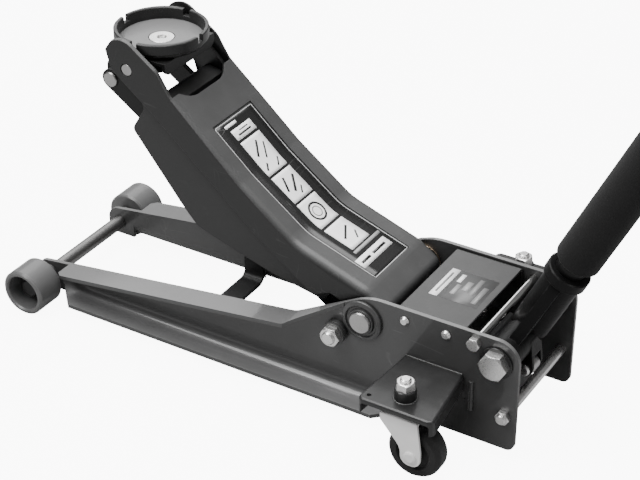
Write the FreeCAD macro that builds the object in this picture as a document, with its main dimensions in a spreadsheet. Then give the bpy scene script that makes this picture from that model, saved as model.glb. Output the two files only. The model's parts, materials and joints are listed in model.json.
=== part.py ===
import FreeCAD
import Part
import Sketcher
import math
import os

# A hydraulic trolley jack: two flanged side plates on front rollers and rear swivel casters,
# a lift arm with a levelling link each side, a ram between the plates, and a pump handle.
# X points forward to the saddle, Y to the left, Z up. The origin is on the floor, under the
# middle of the front axle. The arm stands part raised, and the handle leans back.

doc = FreeCAD.newDocument("FloorJack")
sheet = doc.addObject("Spreadsheet::Sheet", "Sizes")

values = {
    # side plates
    "plate_gap": 138, "plate_thick": 5, "rail_low": 12, "rail_nose": 17, "rail_tail": 630,
    "rail_top": 149, "knee_back": 354, "knee_height": 96, "shoulder_back": 448,
    "nose_round": 16, "knee_round": 30, "shoulder_round": 70, "tail_round": 26, "heel_round": 10,
    "flange_width": 26, "flange_thick": 5, "flange_front": 32, "flange_fade": 342,
    "flange_end": 419, "foot_front": 22, "foot_end": 486, "foot_width": 28, "foot_bend": 14,
    # front axle and rollers
    "roller_radius": 29, "roller_inner": 86.3, "roller_width": 40, "roller_cup": 22,
    "roller_hub": 13, "roller_floor": 13, "hub_length": 21, "axle_radius": 8.5, "collar_radius": 13,
    "cap_radius": 12, "cap_reach": 4,
    # cross members and small hardware of the frame
    "brace_front": 195, "brace_width": 27, "brace_thick": 5, "brace_tall": 30,
    "brace_bend": 10, "top_rod_back": 578,
    "top_rod_height": 137, "top_rod_radius": 5, "top_nut_flats": 14, "top_nut_thick": 7,
    "low_rod_back": 616, "low_rod_height": 55, "low_rod_radius": 6, "low_nut_flats": 15,
    "low_nut_thick": 6, "cover_front": 484, "cover_length": 80, "cover_height": 147,
    "cover_thick": 2.5, "cover_skirt": 24, "screw_radius": 3, "screw_drop": 12,
    "screw_inset": 10, "screw_head": 5.5, "screw_dome": 3.5,
    # arm pivot and link pivot on the plates
    "pivot_back": 442.3, "pivot_height": 117.5, "shaft_radius": 13, "shaft_reach": 8.4,
    "boss_radius": 24.4, "boss_thick": 5, "boss_lip": 17.5, "link_ahead": 32.8, "link_drop": 25,
    "link_bolt": 8, "link_boss": 14, "link_boss_thick": 10, "link_nut_flats": 22,
    "link_nut_thick": 8,
    # lift arm
    "arm_length": 380.2, "dip_station": 112, "front_stations": 268.2, "rest_lift": 34.56,
    "shell_front": 121, "shell_rear": 132,
    "shell_wall": 4, "shell_round": 11, "cheek_gap": 100, "cheek_thick": 5, "tube_radius": 20,
    "bush_radius": 15.5, "bush_length": 26, "label_width": 76, "label_depth": 1.5,
    "nose_radius": 23, "belly_drop": 99,
    "front_pin": 7.5, "bush_flange": 2,
    # ram and its linkage to the arm
    "lug_reach": 50, "lug_lag": 120.8, "lug_gap": 24, "lug_thick": 8, "lug_half": 13,
    "lug_pin": 7, "lug_pin_reach": 35, "ram_height": 70, "ram_radius": 13, "ram_neck": 10.5,
    "ram_neck_length": 9, "cross_half": 15,
    "cross_height": 39, "slot_half": 8, "slot_height": 27, "ram_engaged": 79,
    "gland_front": 488, "gland_length": 6, "gland_radius": 21, "tank_front": 494,
    "tank_width": 45, "tank_height": 62, "spring_radius": 5, "spring_wire": 1.2,
    # pump block and pump
    "block_front": 520, "block_rear": 572, "block_width": 84, "block_bevel": 4, "block_low": 22,
    "block_top": 106, "block_foot": 14, "valve_house_rear": 600, "valve_house_low": 33,
    "valve_house_tall": 30, "valve_house_left": 2, "valve_house_wide": 34, "pump_side": 18, "pump_height": 91,
    "plunger_radius": 6, "plunger_head": 7.5, "plunger_gap": 1.4, "pump_depth": 47,
    "barrel_radius": 10,
    "barrel_length": 5, "plug_radius": 7,
    # casters
    "caster_back": 533, "caster_side": 141, "bracket_height": 91, "bracket_thick": 5,
    "bracket_beyond": 25, "bracket_front": 488, "bracket_rear": 579, "bracket_root_front": 495,
    "bracket_root_rear": 567, "bracket_lip": 14, "bracket_edge": 6, "bracket_hole": 2.5, "stud_radius": 6,
    "stud_boss": 12, "stud_boss_tall": 13, "stud_nut_flats": 19, "stud_nut_thick": 9,
    "race_radius": 19.5, "race_thick": 8, "fork_top": 77, "fork_sheet": 2.8, "fork_gap": 31,
    "fork_front": 20, "fork_back": 24, "fork_eye": 12, "caster_trail": 17, "caster_radius": 31.5,
    "caster_width": 25, "caster_hub": 20, "caster_axle": 4, "axle_head": 7,
    # handle socket
    "socket_back": 604, "socket_height": 121, "lean": 25.8, "yoke_radius": 19,
    "yoke_half": 66.5, "socket_bolt": 9, "bolt_inner": 42, "bolt_flats": 29, "bolt_head": 11,
    "washer_thick": 2.5, "washer_radius": 19, "socket_radius": 21, "socket_foot": 9,
    "socket_length": 100,
    "collar_ring": 24.5, "collar_tall": 14, "gusset_thick": 13, "gusset_foot": 56,
    "crank_back": 25.2, "crank_drop": 22.2, "crank_radius": 9.5, "crank_wheel": 16,
    "crank_cheek": 4, "crank_pin": 4,
    # handle
    "tube_outer": 17, "tube_bore": 15, "tube_start": 14, "lower_length": 560,
    "upper_overlap": 60, "upper_bore": 12.5, "handle_length": 1050, "foam_radius": 25,
    "foam_start": 112, "foam_short": 18, "grip_radius": 18.5, "grip_length": 125,
    "fork_prong": 8.2, "prong_thick": 5, "prong_wide": 11, "ball_radius": 7.5,
    "stem_radius": 4.5, "neck_radius": 3.4, "stem_slope": 36.9, "stem_length": 36,
    # saddle and the yoke that keeps it level
    "ear_gap": 52, "ear_thick": 10, "yoke_top": 12.5, "yoke_plate": 4, "yoke_wide": 96,
    "yoke_apron": 15, "yoke_back": 38, "yoke_ahead": 34, "ear_radius": 13,
    "saddle_back": 6.3, "saddle_radius": 53.8, "saddle_base": 13, "saddle_tall": 19,
    "saddle_floor": 5, "saddle_wall": 5, "stem_post": 12, "post_length": 26, "notch_width": 9,
    "bolt_disc": 15, "bolt_disc_thick": 3, "bolt_socket": 5.5,
    "link_half": 12, "link_thick": 7, "link_gap": 80, "link_pin": 6.5, "pin_head": 9,
    # running clearances
    "run_fit": 0.06, "seat_fit": 0.05, "side_fit": 0.3,
}

for row, (alias, number) in enumerate(values.items(), start=1):
    sheet.set("A%d" % row, alias)
    sheet.set("B%d" % row, str(number))
    sheet.setAlias("B%d" % row, alias)
doc.recompute()


class Size:
    # A number together with the sheet expression that gives it.
    def __init__(self, number, text):
        self.number = number
        self.text = text

    def __add__(self, other):
        other = as_size(other)
        return Size(self.number + other.number, "(%s + %s)" % (self.text, other.text))

    def __sub__(self, other):
        other = as_size(other)
        return Size(self.number - other.number, "(%s - %s)" % (self.text, other.text))

    def __mul__(self, other):
        other = as_size(other)
        return Size(self.number * other.number, "(%s * %s)" % (self.text, other.text))

    def __truediv__(self, other):
        other = as_size(other)
        return Size(self.number / other.number, "(%s / %s)" % (self.text, other.text))

    def __neg__(self):
        return Size(-self.number, "(0 - %s)" % self.text)

    def __radd__(self, other):
        return as_size(other) + self

    def __rsub__(self, other):
        return as_size(other) - self

    def __rmul__(self, other):
        return as_size(other) * self


class Table:
    # Gives each driving dimension by its name.
    def __getattr__(self, name):
        return Size(float(values[name]), "Sizes." + name)


def as_size(value):
    return value if isinstance(value, Size) else Size(float(value), repr(float(value)))


def sine(angle):
    return Size(math.sin(math.radians(angle.number)), "sin(%s)" % angle.text)


def cosine(angle):
    return Size(math.cos(math.radians(angle.number)), "cos(%s)" % angle.text)


d = Table()
nodes = {}
hex_corner = 1 / math.sqrt(3)
hex_half_side = hex_corner / 2


def keep(label, item):
    # Names a finished sub-part; its label names its file.
    item.Label = label
    nodes[label] = item
    return item


def place(item, x=0, y=0, z=0, tilt=None):
    # A tilt turns the item's own X axis up towards Z.
    if tilt is not None:
        item.Placement = FreeCAD.Placement(FreeCAD.Vector(), FreeCAD.Rotation(FreeCAD.Vector(0, -1, 0), 1))
        item.setExpression("Placement.Rotation.Angle", tilt.text)
    item.setExpression("Placement.Base.x", as_size(x).text)
    item.setExpression("Placement.Base.y", as_size(y).text)
    item.setExpression("Placement.Base.z", as_size(z).text)
    return item


def new_body(name):
    return doc.addObject("PartDesign::Body", name)


def dimension(sketch, kind, first, value, name):
    index = sketch.addConstraint(Sketcher.Constraint(kind, *first, value.number))
    sketch.renameConstraint(index, name)
    sketch.setExpression("Constraints." + name, value.text)


def draw_circle(sketch, x, y, radius, tag):
    x, y, radius = as_size(x), as_size(y), as_size(radius)
    centre = FreeCAD.Vector(x.number, y.number, 0)
    circle = sketch.addGeometry(Part.Circle(centre, FreeCAD.Vector(0, 0, 1), radius.number))
    dimension(sketch, "Radius", (circle,), radius, tag + "r")
    dimension(sketch, "DistanceX", (-1, 1, circle, 3), x, tag + "x")
    dimension(sketch, "DistanceY", (-1, 1, circle, 3), y, tag + "y")


def corner_points(before, at, after, radius):
    # Where an arc of this radius leaves and meets the two runs, its centre, and its turn.
    come = (before - at).normalize()
    go = (after - at).normalize()
    half = come.getAngle(go) / 2
    reach = radius / math.tan(half)
    middle = (come + go).normalize() * (radius / math.sin(half))
    turn = (at - before).cross(after - at).z
    return at + come * reach, at + go * reach, at + middle, turn


def draw_outline(sketch, corners, tag):
    # Straight runs between corners; a corner with a third value is rounded by that radius.
    corners = [tuple(as_size(part) for part in corner) for corner in corners]
    spots = [FreeCAD.Vector(c[0].number, c[1].number, 0) for c in corners]
    count = len(corners)
    ends = []
    for i, corner in enumerate(corners):
        if len(corner) > 2:
            ends.append(corner_points(spots[i - 1], spots[i], spots[(i + 1) % count], corner[2].number))
        else:
            ends.append((spots[i], spots[i], None, 0))
    runs = []
    for i in range(count):
        line = Part.LineSegment(ends[i][1], ends[(i + 1) % count][0])
        runs.append(sketch.addGeometry(line))
    for i, corner in enumerate(corners):
        come, go, centre, turn = ends[i]
        last, following = runs[i - 1], runs[i]
        name = "%s%d" % (tag, i)
        if centre is None:
            sketch.addConstraint(Sketcher.Constraint("Coincident", last, 2, following, 1))
            dimension(sketch, "DistanceX", (-1, 1, following, 1), corner[0], name + "x")
            dimension(sketch, "DistanceY", (-1, 1, following, 1), corner[1], name + "y")
            continue
        start, stop = (come, go) if turn > 0 else (go, come)
        first = math.atan2(start.y - centre.y, start.x - centre.x)
        second = math.atan2(stop.y - centre.y, stop.x - centre.x)
        ring = Part.Circle(centre, FreeCAD.Vector(0, 0, 1), corner[2].number)
        arc = sketch.addGeometry(Part.ArcOfCircle(ring, first, second))
        joins = (1, 2) if turn > 0 else (2, 1)
        sketch.addConstraint(Sketcher.Constraint("Tangent", last, 2, arc, joins[0]))
        sketch.addConstraint(Sketcher.Constraint("Tangent", arc, joins[1], following, 1))
        dimension(sketch, "Radius", (arc,), corner[2], name + "r")
        point = sketch.addGeometry(Part.Point(spots[i]), True)
        sketch.addConstraint(Sketcher.Constraint("PointOnObject", point, 1, last))
        sketch.addConstraint(Sketcher.Constraint("PointOnObject", point, 1, following))
        dimension(sketch, "DistanceX", (-1, 1, point, 1), corner[0], name + "x")
        dimension(sketch, "DistanceY", (-1, 1, point, 1), corner[1], name + "y")


def draw(body, plane, outlines=(), circles=(), lift=0):
    # A sketch on one of the body's own planes, raised along the plane's normal by lift.
    sketch = body.newObject("Sketcher::SketchObject", body.Name + "Sketch")
    support = [item for item in body.Origin.OriginFeatures if item.Role == plane + "_Plane"]
    sketch.AttachmentSupport = [(support[0], "")]
    sketch.MapMode = "FlatFace"
    sketch.setExpression("AttachmentOffset.Base.z", as_size(lift).text)
    for i, corners in enumerate(outlines):
        draw_outline(sketch, corners, "o%dp" % i)
    for i, (x, y, radius) in enumerate(circles):
        draw_circle(sketch, x, y, radius, "c%d" % i)
    return sketch


def add_feature(body, kind, sketch, length, symmetric, back):
    before = body.Shape.Volume if body.Tip else 0
    feature = body.newObject("PartDesign::" + kind, body.Name + kind)
    feature.Profile = sketch
    feature.Type = "Length"
    feature.setExpression("Length", as_size(length).text)
    feature.SideType = "Symmetric" if symmetric else "One side"
    feature.Reversed = back
    doc.recompute()
    change = body.Shape.Volume - before
    if (change <= 0) == (kind == "Pad"):
        raise RuntimeError("%s of %s changed nothing" % (kind, body.Name))
    return feature


def pad(body, sketch, length, symmetric=False, back=False):
    return add_feature(body, "Pad", sketch, length, symmetric, back)


def pocket(body, sketch, length, symmetric=True, back=False):
    return add_feature(body, "Pocket", sketch, length, symmetric, back)


def spin(body, sketch, axis="V_Axis", kind="Revolution"):
    before = body.Shape.Volume if body.Tip else 0
    feature = body.newObject("PartDesign::" + kind, body.Name + kind)
    feature.Profile = sketch
    feature.ReferenceAxis = (sketch, [axis])
    feature.Angle = 360
    doc.recompute()
    change = body.Shape.Volume - before
    if (change <= 0) == (kind == "Revolution"):
        raise RuntimeError("%s of %s changed nothing" % (kind, body.Name))
    return feature


def dress(body, kind, wanted, size):
    # Rounds or bevels the edges that the wanted test picks.
    base = body.Tip
    names = ["Edge%d" % (i + 1) for i, edge in enumerate(base.Shape.Edges) if wanted(edge)]
    if not names:
        raise RuntimeError("no edge of %s to dress" % body.Name)
    feature = body.newObject("PartDesign::" + kind, body.Name + kind)
    feature.Base = (base, names)
    feature.setExpression("Radius" if kind == "Fillet" else "Size", as_size(size).text)
    body.Tip = feature
    doc.recompute()
    return feature


def turned(name, profile, plane="XY", axis="V_Axis"):
    # A turned piece: on XY about Y, on XZ about Z; with H_Axis about X.
    body = new_body(name)
    spin(body, draw(body, plane, [profile]), axis)
    return body


def mirrored(source, name):
    twin = doc.addObject("Part::Mirroring", name)
    twin.Source = source
    twin.Normal = FreeCAD.Vector(0, 1, 0)
    return twin


def grouped(label, items):
    group = doc.addObject("Part::Compound", label)
    group.Links = items
    return keep(label, group)


def both_sides(label, source):
    return grouped(label, [source, mirrored(source, label + "Twin")])


def ring(inner, outer, low, high, bevel=None):
    # Profile of a plain ring, across its radius and along its axis.
    if bevel is None:
        return [(inner, low), (outer, low), (outer, high), (inner, high)]
    return [(inner, low), (outer - bevel, low), (outer, low + bevel),
            (outer, high - bevel), (outer - bevel, high), (inner, high)]


def line_height(p, q, x):
    # Height at x on the straight line through p and q.
    return p[1] + (q[1] - p[1]) * (x - p[0]) / (q[0] - p[0])


def hexagon(flats):
    side, across = flats * hex_half_side, flats * hex_corner
    return [(across, 0), (side, flats / 2), (-side, flats / 2),
            (-across, 0), (-side, -flats / 2), (side, -flats / 2)]


def hex_head(name, flats, thick, outer, bore=None):
    # A hexagon on the XZ plane from outer towards the middle, its outer face bevelled.
    body = new_body(name)
    pad(body, draw(body, "XZ", [hexagon(flats)], lift=-outer), thick)
    cut = [(flats * 0.5, outer + 1), (flats * 0.5 - 0.6, outer + 0.01), (flats * 0.5 + 4, outer - 3.4),
           (flats * 0.5 + 4, outer + 1)]
    spin(body, draw(body, "XY", [cut]), kind="Groove")
    if bore is not None:
        pocket(body, draw(body, "XZ", circles=[(0, 0, bore)], lift=-outer), thick * 3)
    return body


half_gap = d.plate_gap / 2
outer_face = half_gap + d.plate_thick
nose_top = d.rail_low + d.rail_nose * 2
nose_corner = (d.rail_nose, nose_top)
knee = (-d.knee_back, d.knee_height)
shoulder = (-d.shoulder_back, d.rail_top)
pivot = (-d.pivot_back, d.pivot_height)
link_pivot = (pivot[0] + d.link_ahead, pivot[1] - d.link_drop)
arm_end = (pivot[0] + d.arm_length * cosine(d.rest_lift), pivot[1] + d.arm_length * sine(d.rest_lift))
lug_turn = d.lug_lag - d.rest_lift
lug_spot = (pivot[0] + d.lug_reach * cosine(lug_turn), pivot[1] - d.lug_reach * sine(lug_turn))
socket = (-d.socket_back, d.socket_height)
screw_height = d.cover_height - d.screw_drop
screw_spots = [(-(d.cover_front + d.screw_inset)), (-(d.cover_front + d.cover_length - d.screw_inset * 2))]


# Frame

def side_plate():
    body = new_body("SidePlate")
    web = [(d.rail_nose, d.rail_low, d.nose_round), (nose_corner[0], nose_corner[1], d.nose_round),
           (knee[0], knee[1], d.knee_round), (shoulder[0], shoulder[1], d.shoulder_round),
           (-d.rail_tail, d.rail_top, d.tail_round), (-d.rail_tail, d.rail_low, d.heel_round)]
    pad(body, draw(body, "XZ", [web]), d.plate_thick)
    front, end = -d.flange_front, -d.flange_end
    front_height = line_height(nose_corner, knee, front)
    end_height = line_height(knee, shoulder, end)
    strip = [(front, front_height), (knee[0], knee[1], d.knee_round), (end, end_height),
             (end, end_height - d.flange_thick), (knee[0], knee[1] - d.flange_thick, d.knee_round),
             (front, front_height - d.flange_thick)]
    pad(body, draw(body, "XZ", [strip]), d.flange_width, back=True)
    fade, past = -d.flange_fade, d.flange_width + 10
    taper = [(fade, past), (fade, d.flange_width, 40), (end + 2, 1), (end - 8, 1), (end - 8, past)]
    tip = [(front + 3, d.flange_width - 8), (front - 7, d.flange_width, 6), (front - 7, past),
           (front + 3, past)]
    pocket(body, draw(body, "XY", [taper, tip], lift=d.rail_top / 2 + 20), d.rail_top - 10)
    foot_top = d.rail_low + d.flange_thick
    foot = [(-2, d.rail_low), (d.foot_width, d.rail_low), (d.foot_width, foot_top),
            (0, foot_top, d.foot_bend), (0, foot_top + d.foot_bend + 3), (-2, foot_top + d.foot_bend + 3)]
    pad(body, draw(body, "YZ", [foot], lift=-d.foot_end), d.foot_end - d.foot_front)
    bend = d.foot_bend + d.plate_thick
    edge = -d.plate_thick
    outside = [(edge - 1, d.rail_low + bend + 1), (edge, d.rail_low + bend + 1),
               (edge, d.rail_low, bend), (edge + bend + 1, d.rail_low),
               (edge + bend + 1, d.rail_low - 1), (edge - 1, d.rail_low - 1)]
    pocket(body, draw(body, "YZ", [outside], lift=-d.foot_end), d.foot_end - d.foot_front,
           symmetric=False, back=True)
    toe = [(-d.foot_front - 2, 2), (-d.foot_front - 28, d.foot_width + 1),
           (-d.foot_front + 2, d.foot_width + 1), (-d.foot_front + 2, 2)]
    heel = [(-d.foot_end - 2, 10), (-d.foot_end + 18, d.foot_width + 1), (-d.foot_end - 2, d.foot_width + 1)]
    pocket(body, draw(body, "XY", [toe, heel], lift=d.rail_low + 12), 44)
    holes = [(0, d.roller_radius, d.axle_radius + d.seat_fit),
             (pivot[0], pivot[1], d.shaft_radius + d.seat_fit),
             (link_pivot[0], link_pivot[1], d.link_bolt + d.seat_fit),
             (-d.top_rod_back, d.top_rod_height, d.top_rod_radius + d.seat_fit),
             (-d.low_rod_back, d.low_rod_height, d.low_rod_radius + d.seat_fit),
             (socket[0], socket[1], d.socket_bolt + d.seat_fit)]
    holes += [(spot, screw_height, d.screw_radius + d.seat_fit) for spot in screw_spots]
    pocket(body, draw(body, "XZ", circles=holes), d.plate_thick * 3)
    place(body, y=outer_face)
    keep("side_plate_left", body)
    keep("side_plate_right", mirrored(body, "SidePlateTwin"))


def front_axle():
    reach = d.roller_inner + d.hub_length + d.cap_reach
    axle = turned("Axle", ring(0, d.axle_radius, -reach, reach, 1))
    keep("front_axle", place(axle, z=d.roller_radius))
    collar = turned("Collar", ring(d.axle_radius + d.seat_fit, d.collar_radius, outer_face,
                                   d.roller_inner - d.side_fit, 1))
    both_sides("axle_collars", place(collar, z=d.roller_radius))
    base = d.roller_inner + d.hub_length + d.side_fit
    top = reach + 2.5
    cap = turned("Cap", [(0, top), (d.cap_radius - 2, top), (d.cap_radius, top - 2), (d.cap_radius, base),
                         (d.axle_radius + d.seat_fit, base), (d.axle_radius + d.seat_fit, reach), (0, reach)])
    both_sides("axle_end_caps", place(cap, z=d.roller_radius))


def front_roller():
    inner, outer = d.roller_inner, d.roller_inner + d.roller_width
    bore, hub_end = d.axle_radius + d.run_fit, d.roller_inner + d.hub_length
    floor = inner + d.roller_floor
    profile = [(bore, inner), (d.roller_radius - 2, inner), (d.roller_radius, inner + 2),
               (d.roller_radius, outer - 2.5), (d.roller_radius - 2.5, outer), (d.roller_cup + 1.5, outer),
               (d.roller_cup, outer - 2), (d.roller_cup - 1, floor, 3), (d.roller_hub + 1, floor, 2),
               (d.roller_hub, hub_end), (bore, hub_end)]
    roller = turned("Roller", profile)
    keep("front_roller_left", place(roller, z=d.roller_radius))
    keep("front_roller_right", mirrored(roller, "RollerTwin"))


def cross_members():
    brace = new_body("Brace")
    low, tall, wall, bend = d.rail_low, d.rail_low + d.brace_tall, d.brace_thick, d.brace_bend
    inside, floor = half_gap - wall, low + wall
    strap = [(-half_gap, tall), (-half_gap, low, bend + wall), (half_gap, low, bend + wall), (half_gap, tall),
             (inside, tall), (inside, floor, bend), (-inside, floor, bend), (-inside, tall)]
    pad(brace, draw(brace, "YZ", [strap], lift=-(d.brace_front + d.brace_width)), d.brace_width)
    keep("cross_brace", brace)
    rod = turned("TopRod", ring(0, d.top_rod_radius, -outer_face, outer_face))
    keep("upper_tie_rod", place(rod, -d.top_rod_back, 0, d.top_rod_height))
    nut = hex_head("TopNut", d.top_nut_flats, d.top_nut_thick, outer_face + d.top_nut_thick)
    place(nut, -d.top_rod_back, 0, d.top_rod_height)
    reach = outer_face + d.low_nut_thick + 3
    low_rod = turned("LowRod", ring(0, d.low_rod_radius, -reach, reach, 1))
    keep("lower_tie_rod", place(low_rod, -d.low_rod_back, 0, d.low_rod_height))
    low_nut = hex_head("LowNut", d.low_nut_flats, d.low_nut_thick, outer_face + d.low_nut_thick,
                       d.low_rod_radius + d.seat_fit)
    place(low_nut, -d.low_rod_back, 0, d.low_rod_height)
    grouped("tie_rod_nuts", [nut, mirrored(nut, "TopNutTwin"), low_nut, mirrored(low_nut, "LowNutTwin")])


def cover():
    body = new_body("Cover")
    top, inside = d.cover_height, half_gap - d.cover_thick
    low = top - d.cover_skirt
    channel = [(-half_gap, low), (-half_gap, top, 4), (half_gap, top, 4), (half_gap, low),
               (inside, low), (inside, top - d.cover_thick, 2), (-inside, top - d.cover_thick, 2),
               (-inside, low)]
    pad(body, draw(body, "YZ", [channel], lift=-(d.cover_front + d.cover_length)), d.cover_length)
    holes = [(spot, screw_height, d.screw_radius + d.seat_fit) for spot in screw_spots]
    pocket(body, draw(body, "XZ", circles=holes), d.plate_gap * 2)
    keep("top_cover", body)
    screws = []
    for i, spot in enumerate(screw_spots):
        head = outer_face + d.screw_dome
        profile = [(0, half_gap - 9), (d.screw_radius, half_gap - 9), (d.screw_radius, outer_face),
                   (d.screw_head, outer_face), (d.screw_head, outer_face + 1), (d.screw_head - 2, head),
                   (0, head)]
        screw = place(turned("Screw%d" % i, profile), spot, 0, screw_height)
        screws += [screw, mirrored(screw, "ScrewTwin%d" % i)]
    grouped("cover_screws", screws)


def frame_pivots():
    reach = outer_face + d.shaft_reach
    shaft = turned("Shaft", ring(0, d.shaft_radius, -reach, reach, 1.2))
    keep("arm_pivot_shaft", place(shaft, pivot[0], 0, pivot[1]))
    bore = d.shaft_radius + d.seat_fit
    top = outer_face + d.boss_thick
    profile = [(bore, outer_face), (d.boss_radius, outer_face), (d.boss_radius, top - 2, 1.2),
               (d.boss_lip + 2.5, top, 1.2), (d.boss_lip + 1, top - 2.5), (d.boss_lip - 1.5, top - 2.5),
               (d.boss_lip - 2.5, top + 0.5), (bore, top + 0.5)]
    both_sides("arm_pivot_bosses", place(turned("Boss", profile), pivot[0], 0, pivot[1]))
    link_outer = outer_face + d.link_boss_thick + d.link_nut_thick
    link_inner = d.link_gap / 2 - 3
    head = [(0, link_inner), (d.link_bolt + 4, link_inner), (d.link_bolt + 4, link_inner + 3 - d.side_fit),
            (d.link_bolt, link_inner + 3 - d.side_fit), (d.link_bolt, link_outer + 1.5),
            (d.link_bolt - 1.5, link_outer + 3), (0, link_outer + 3)]
    both_sides("link_pivot_bolts", place(turned("LinkBolt", head), link_pivot[0], 0, link_pivot[1]))
    ring_bore, top = d.link_bolt + d.seat_fit, outer_face + d.link_boss_thick
    profile = [(ring_bore, outer_face), (d.link_boss, outer_face), (d.link_boss, top - 4),
               (d.link_boss - 1.5, top - 4), (d.link_boss - 1.5, top - 3), (d.link_boss, top - 3),
               (d.link_boss, top), (ring_bore, top)]
    boss = place(turned("LinkBoss", profile), link_pivot[0], 0, link_pivot[1])
    profile = ring(ring_bore, d.link_bolt + 3, d.link_gap / 2 + d.link_thick + d.side_fit, half_gap)
    washer = place(turned("LinkSpacer", profile), link_pivot[0], 0, link_pivot[1])
    twins = [mirrored(boss, "LinkBossTwin"), mirrored(washer, "LinkSpacerTwin")]
    grouped("link_pivot_bosses", [boss, washer] + twins)
    nut = hex_head("LinkNut", d.link_nut_flats, d.link_nut_thick, link_outer, ring_bore)
    both_sides("link_pivot_nuts", place(nut, link_pivot[0], 0, link_pivot[1]))


# Pump block, ram cylinder and pump

def pump_block():
    body = new_body("Block")
    front, rear = -d.block_front, -d.block_rear
    side = [(front, d.block_low), (front, d.block_top, 6), (rear, d.block_top, 4), (rear, d.block_low)]
    pad(body, draw(body, "XZ", [side]), d.block_width, symmetric=True)
    half = d.block_width.number / 2
    dress(body, "Chamfer", lambda edge: edge.BoundBox.YLength < 0.01 and edge.BoundBox.ZLength < 0.01
          and abs(abs(edge.BoundBox.YMin) - half) < 0.01 and edge.BoundBox.ZMin > d.block_low.number + 1,
          d.block_bevel)
    foot = [(front, d.block_low), (front, d.block_low + d.block_foot),
            (rear, d.block_low + d.block_foot), (rear, d.block_low)]
    pad(body, draw(body, "XZ", [foot]), d.plate_gap, symmetric=True)
    pocket(body, draw(body, "YZ", circles=[(0, d.ram_height, d.ram_radius + 4)], lift=front), 47,
           symmetric=False, back=False)
    barrel_rear = rear - d.barrel_length
    barrel = draw(body, "YZ", circles=[(d.pump_side, d.pump_height, d.barrel_radius)], lift=rear)
    pad(body, barrel, d.barrel_length, back=True)
    bore = [(d.pump_side, d.pump_height, d.plunger_radius + d.run_fit)]
    pocket(body, draw(body, "YZ", circles=bore, lift=rear), d.pump_depth * 2)
    left, low = d.valve_house_left, d.valve_house_low
    right, high = left - d.valve_house_wide, low + d.valve_house_tall
    housing = [(right, low, 4), (left, low, 4), (left, high, 4), (right, high, 4)]
    house = new_body("ValveHouse")
    pad(house, draw(house, "YZ", [housing], lift=-d.valve_house_rear), d.valve_house_rear - d.block_rear)
    grouped("pump_block", [body, house])
    tank = new_body("Tank")
    half, tall = d.tank_width / 2, d.tank_height / 2
    box = [(-half, d.ram_height - tall, 10), (half, d.ram_height - tall, 10),
           (half, d.ram_height + tall - 6, 10), (-half, d.ram_height + tall - 6, 10)]
    pad(tank, draw(tank, "YZ", [box], lift=front), d.block_front - d.tank_front)
    pocket(tank, draw(tank, "YZ", circles=[(0, d.ram_height, d.ram_radius + 4)], lift=front), 200)
    keep("oil_reservoir", tank)
    bore = d.ram_radius + d.run_fit
    gland_rear = -(d.gland_front + d.gland_length)
    front_face, sleeve, nose = -d.gland_front, d.ram_radius + 3.9, gland_rear - 12
    gland = [(front_face, bore), (front_face, d.gland_radius - 1), (front_face - 1, d.gland_radius),
             (gland_rear, d.gland_radius), (gland_rear, sleeve), (nose, sleeve), (nose, bore)]
    nut = turned("Gland", gland, "XZ", "H_Axis")
    keep("ram_gland_nut", place(nut, z=d.ram_height))
    plug = [(0, d.block_top), (d.plug_radius, d.block_top), (d.plug_radius, d.block_top + 4),
            (d.plug_radius - 1, d.block_top + 5), (0, d.block_top + 5)]
    keep("oil_filler_plug", place(turned("Plug", plug, "XZ"), front - 18, -d.pump_side - 4, 0))
    return barrel_rear


def crank_spot():
    # Middle of the pump roller, from the socket's own frame to the part's.
    c, s = cosine(d.lean), sine(d.lean)
    x = -d.crank_back * c + d.crank_drop * s
    z = -d.crank_back * s - d.crank_drop * c
    return socket[0] + x, socket[1] + z


def pump_plunger(barrel_rear):
    tip = crank_spot()[0] + d.crank_radius + d.plunger_gap
    head_front = tip + 4
    inner = -d.block_rear + 20
    profile = [(inner, 0), (inner, d.plunger_radius), (head_front, d.plunger_radius),
               (head_front, d.plunger_head), (tip + 1.5, d.plunger_head), (tip, d.plunger_head - 2), (tip, 0)]
    keep("pump_plunger", place(turned("Plunger", profile, "XZ", "H_Axis"), 0, d.pump_side, d.pump_height))
    wire, mean = d.spring_wire, d.plunger_radius + 1.8
    start, stop = head_front + 0.1, barrel_rear - 0.1
    coil_stack("plunger_spring", start, stop, mean, wire, 5,
               lambda item: place(item, 0, d.pump_side, d.pump_height))


def coil_stack(label, start, stop, mean, wire, turns, seat, twin=False):
    # Close turns of a coil, drawn as one ribbed sleeve along X.
    pitch = (stop - start) / turns
    profile = [(start, mean - wire)]
    for i in range(turns):
        at = start + pitch * i
        profile += [(at, mean), (at + pitch * 0.3, mean + wire), (at + pitch * 0.7, mean + wire)]
    profile += [(stop, mean), (stop, mean - wire)]
    item = seat(turned(label.title().replace("_", ""), profile, "XZ", "H_Axis"))
    if twin:
        both_sides(label, item)
    else:
        keep(label, item)


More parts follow.
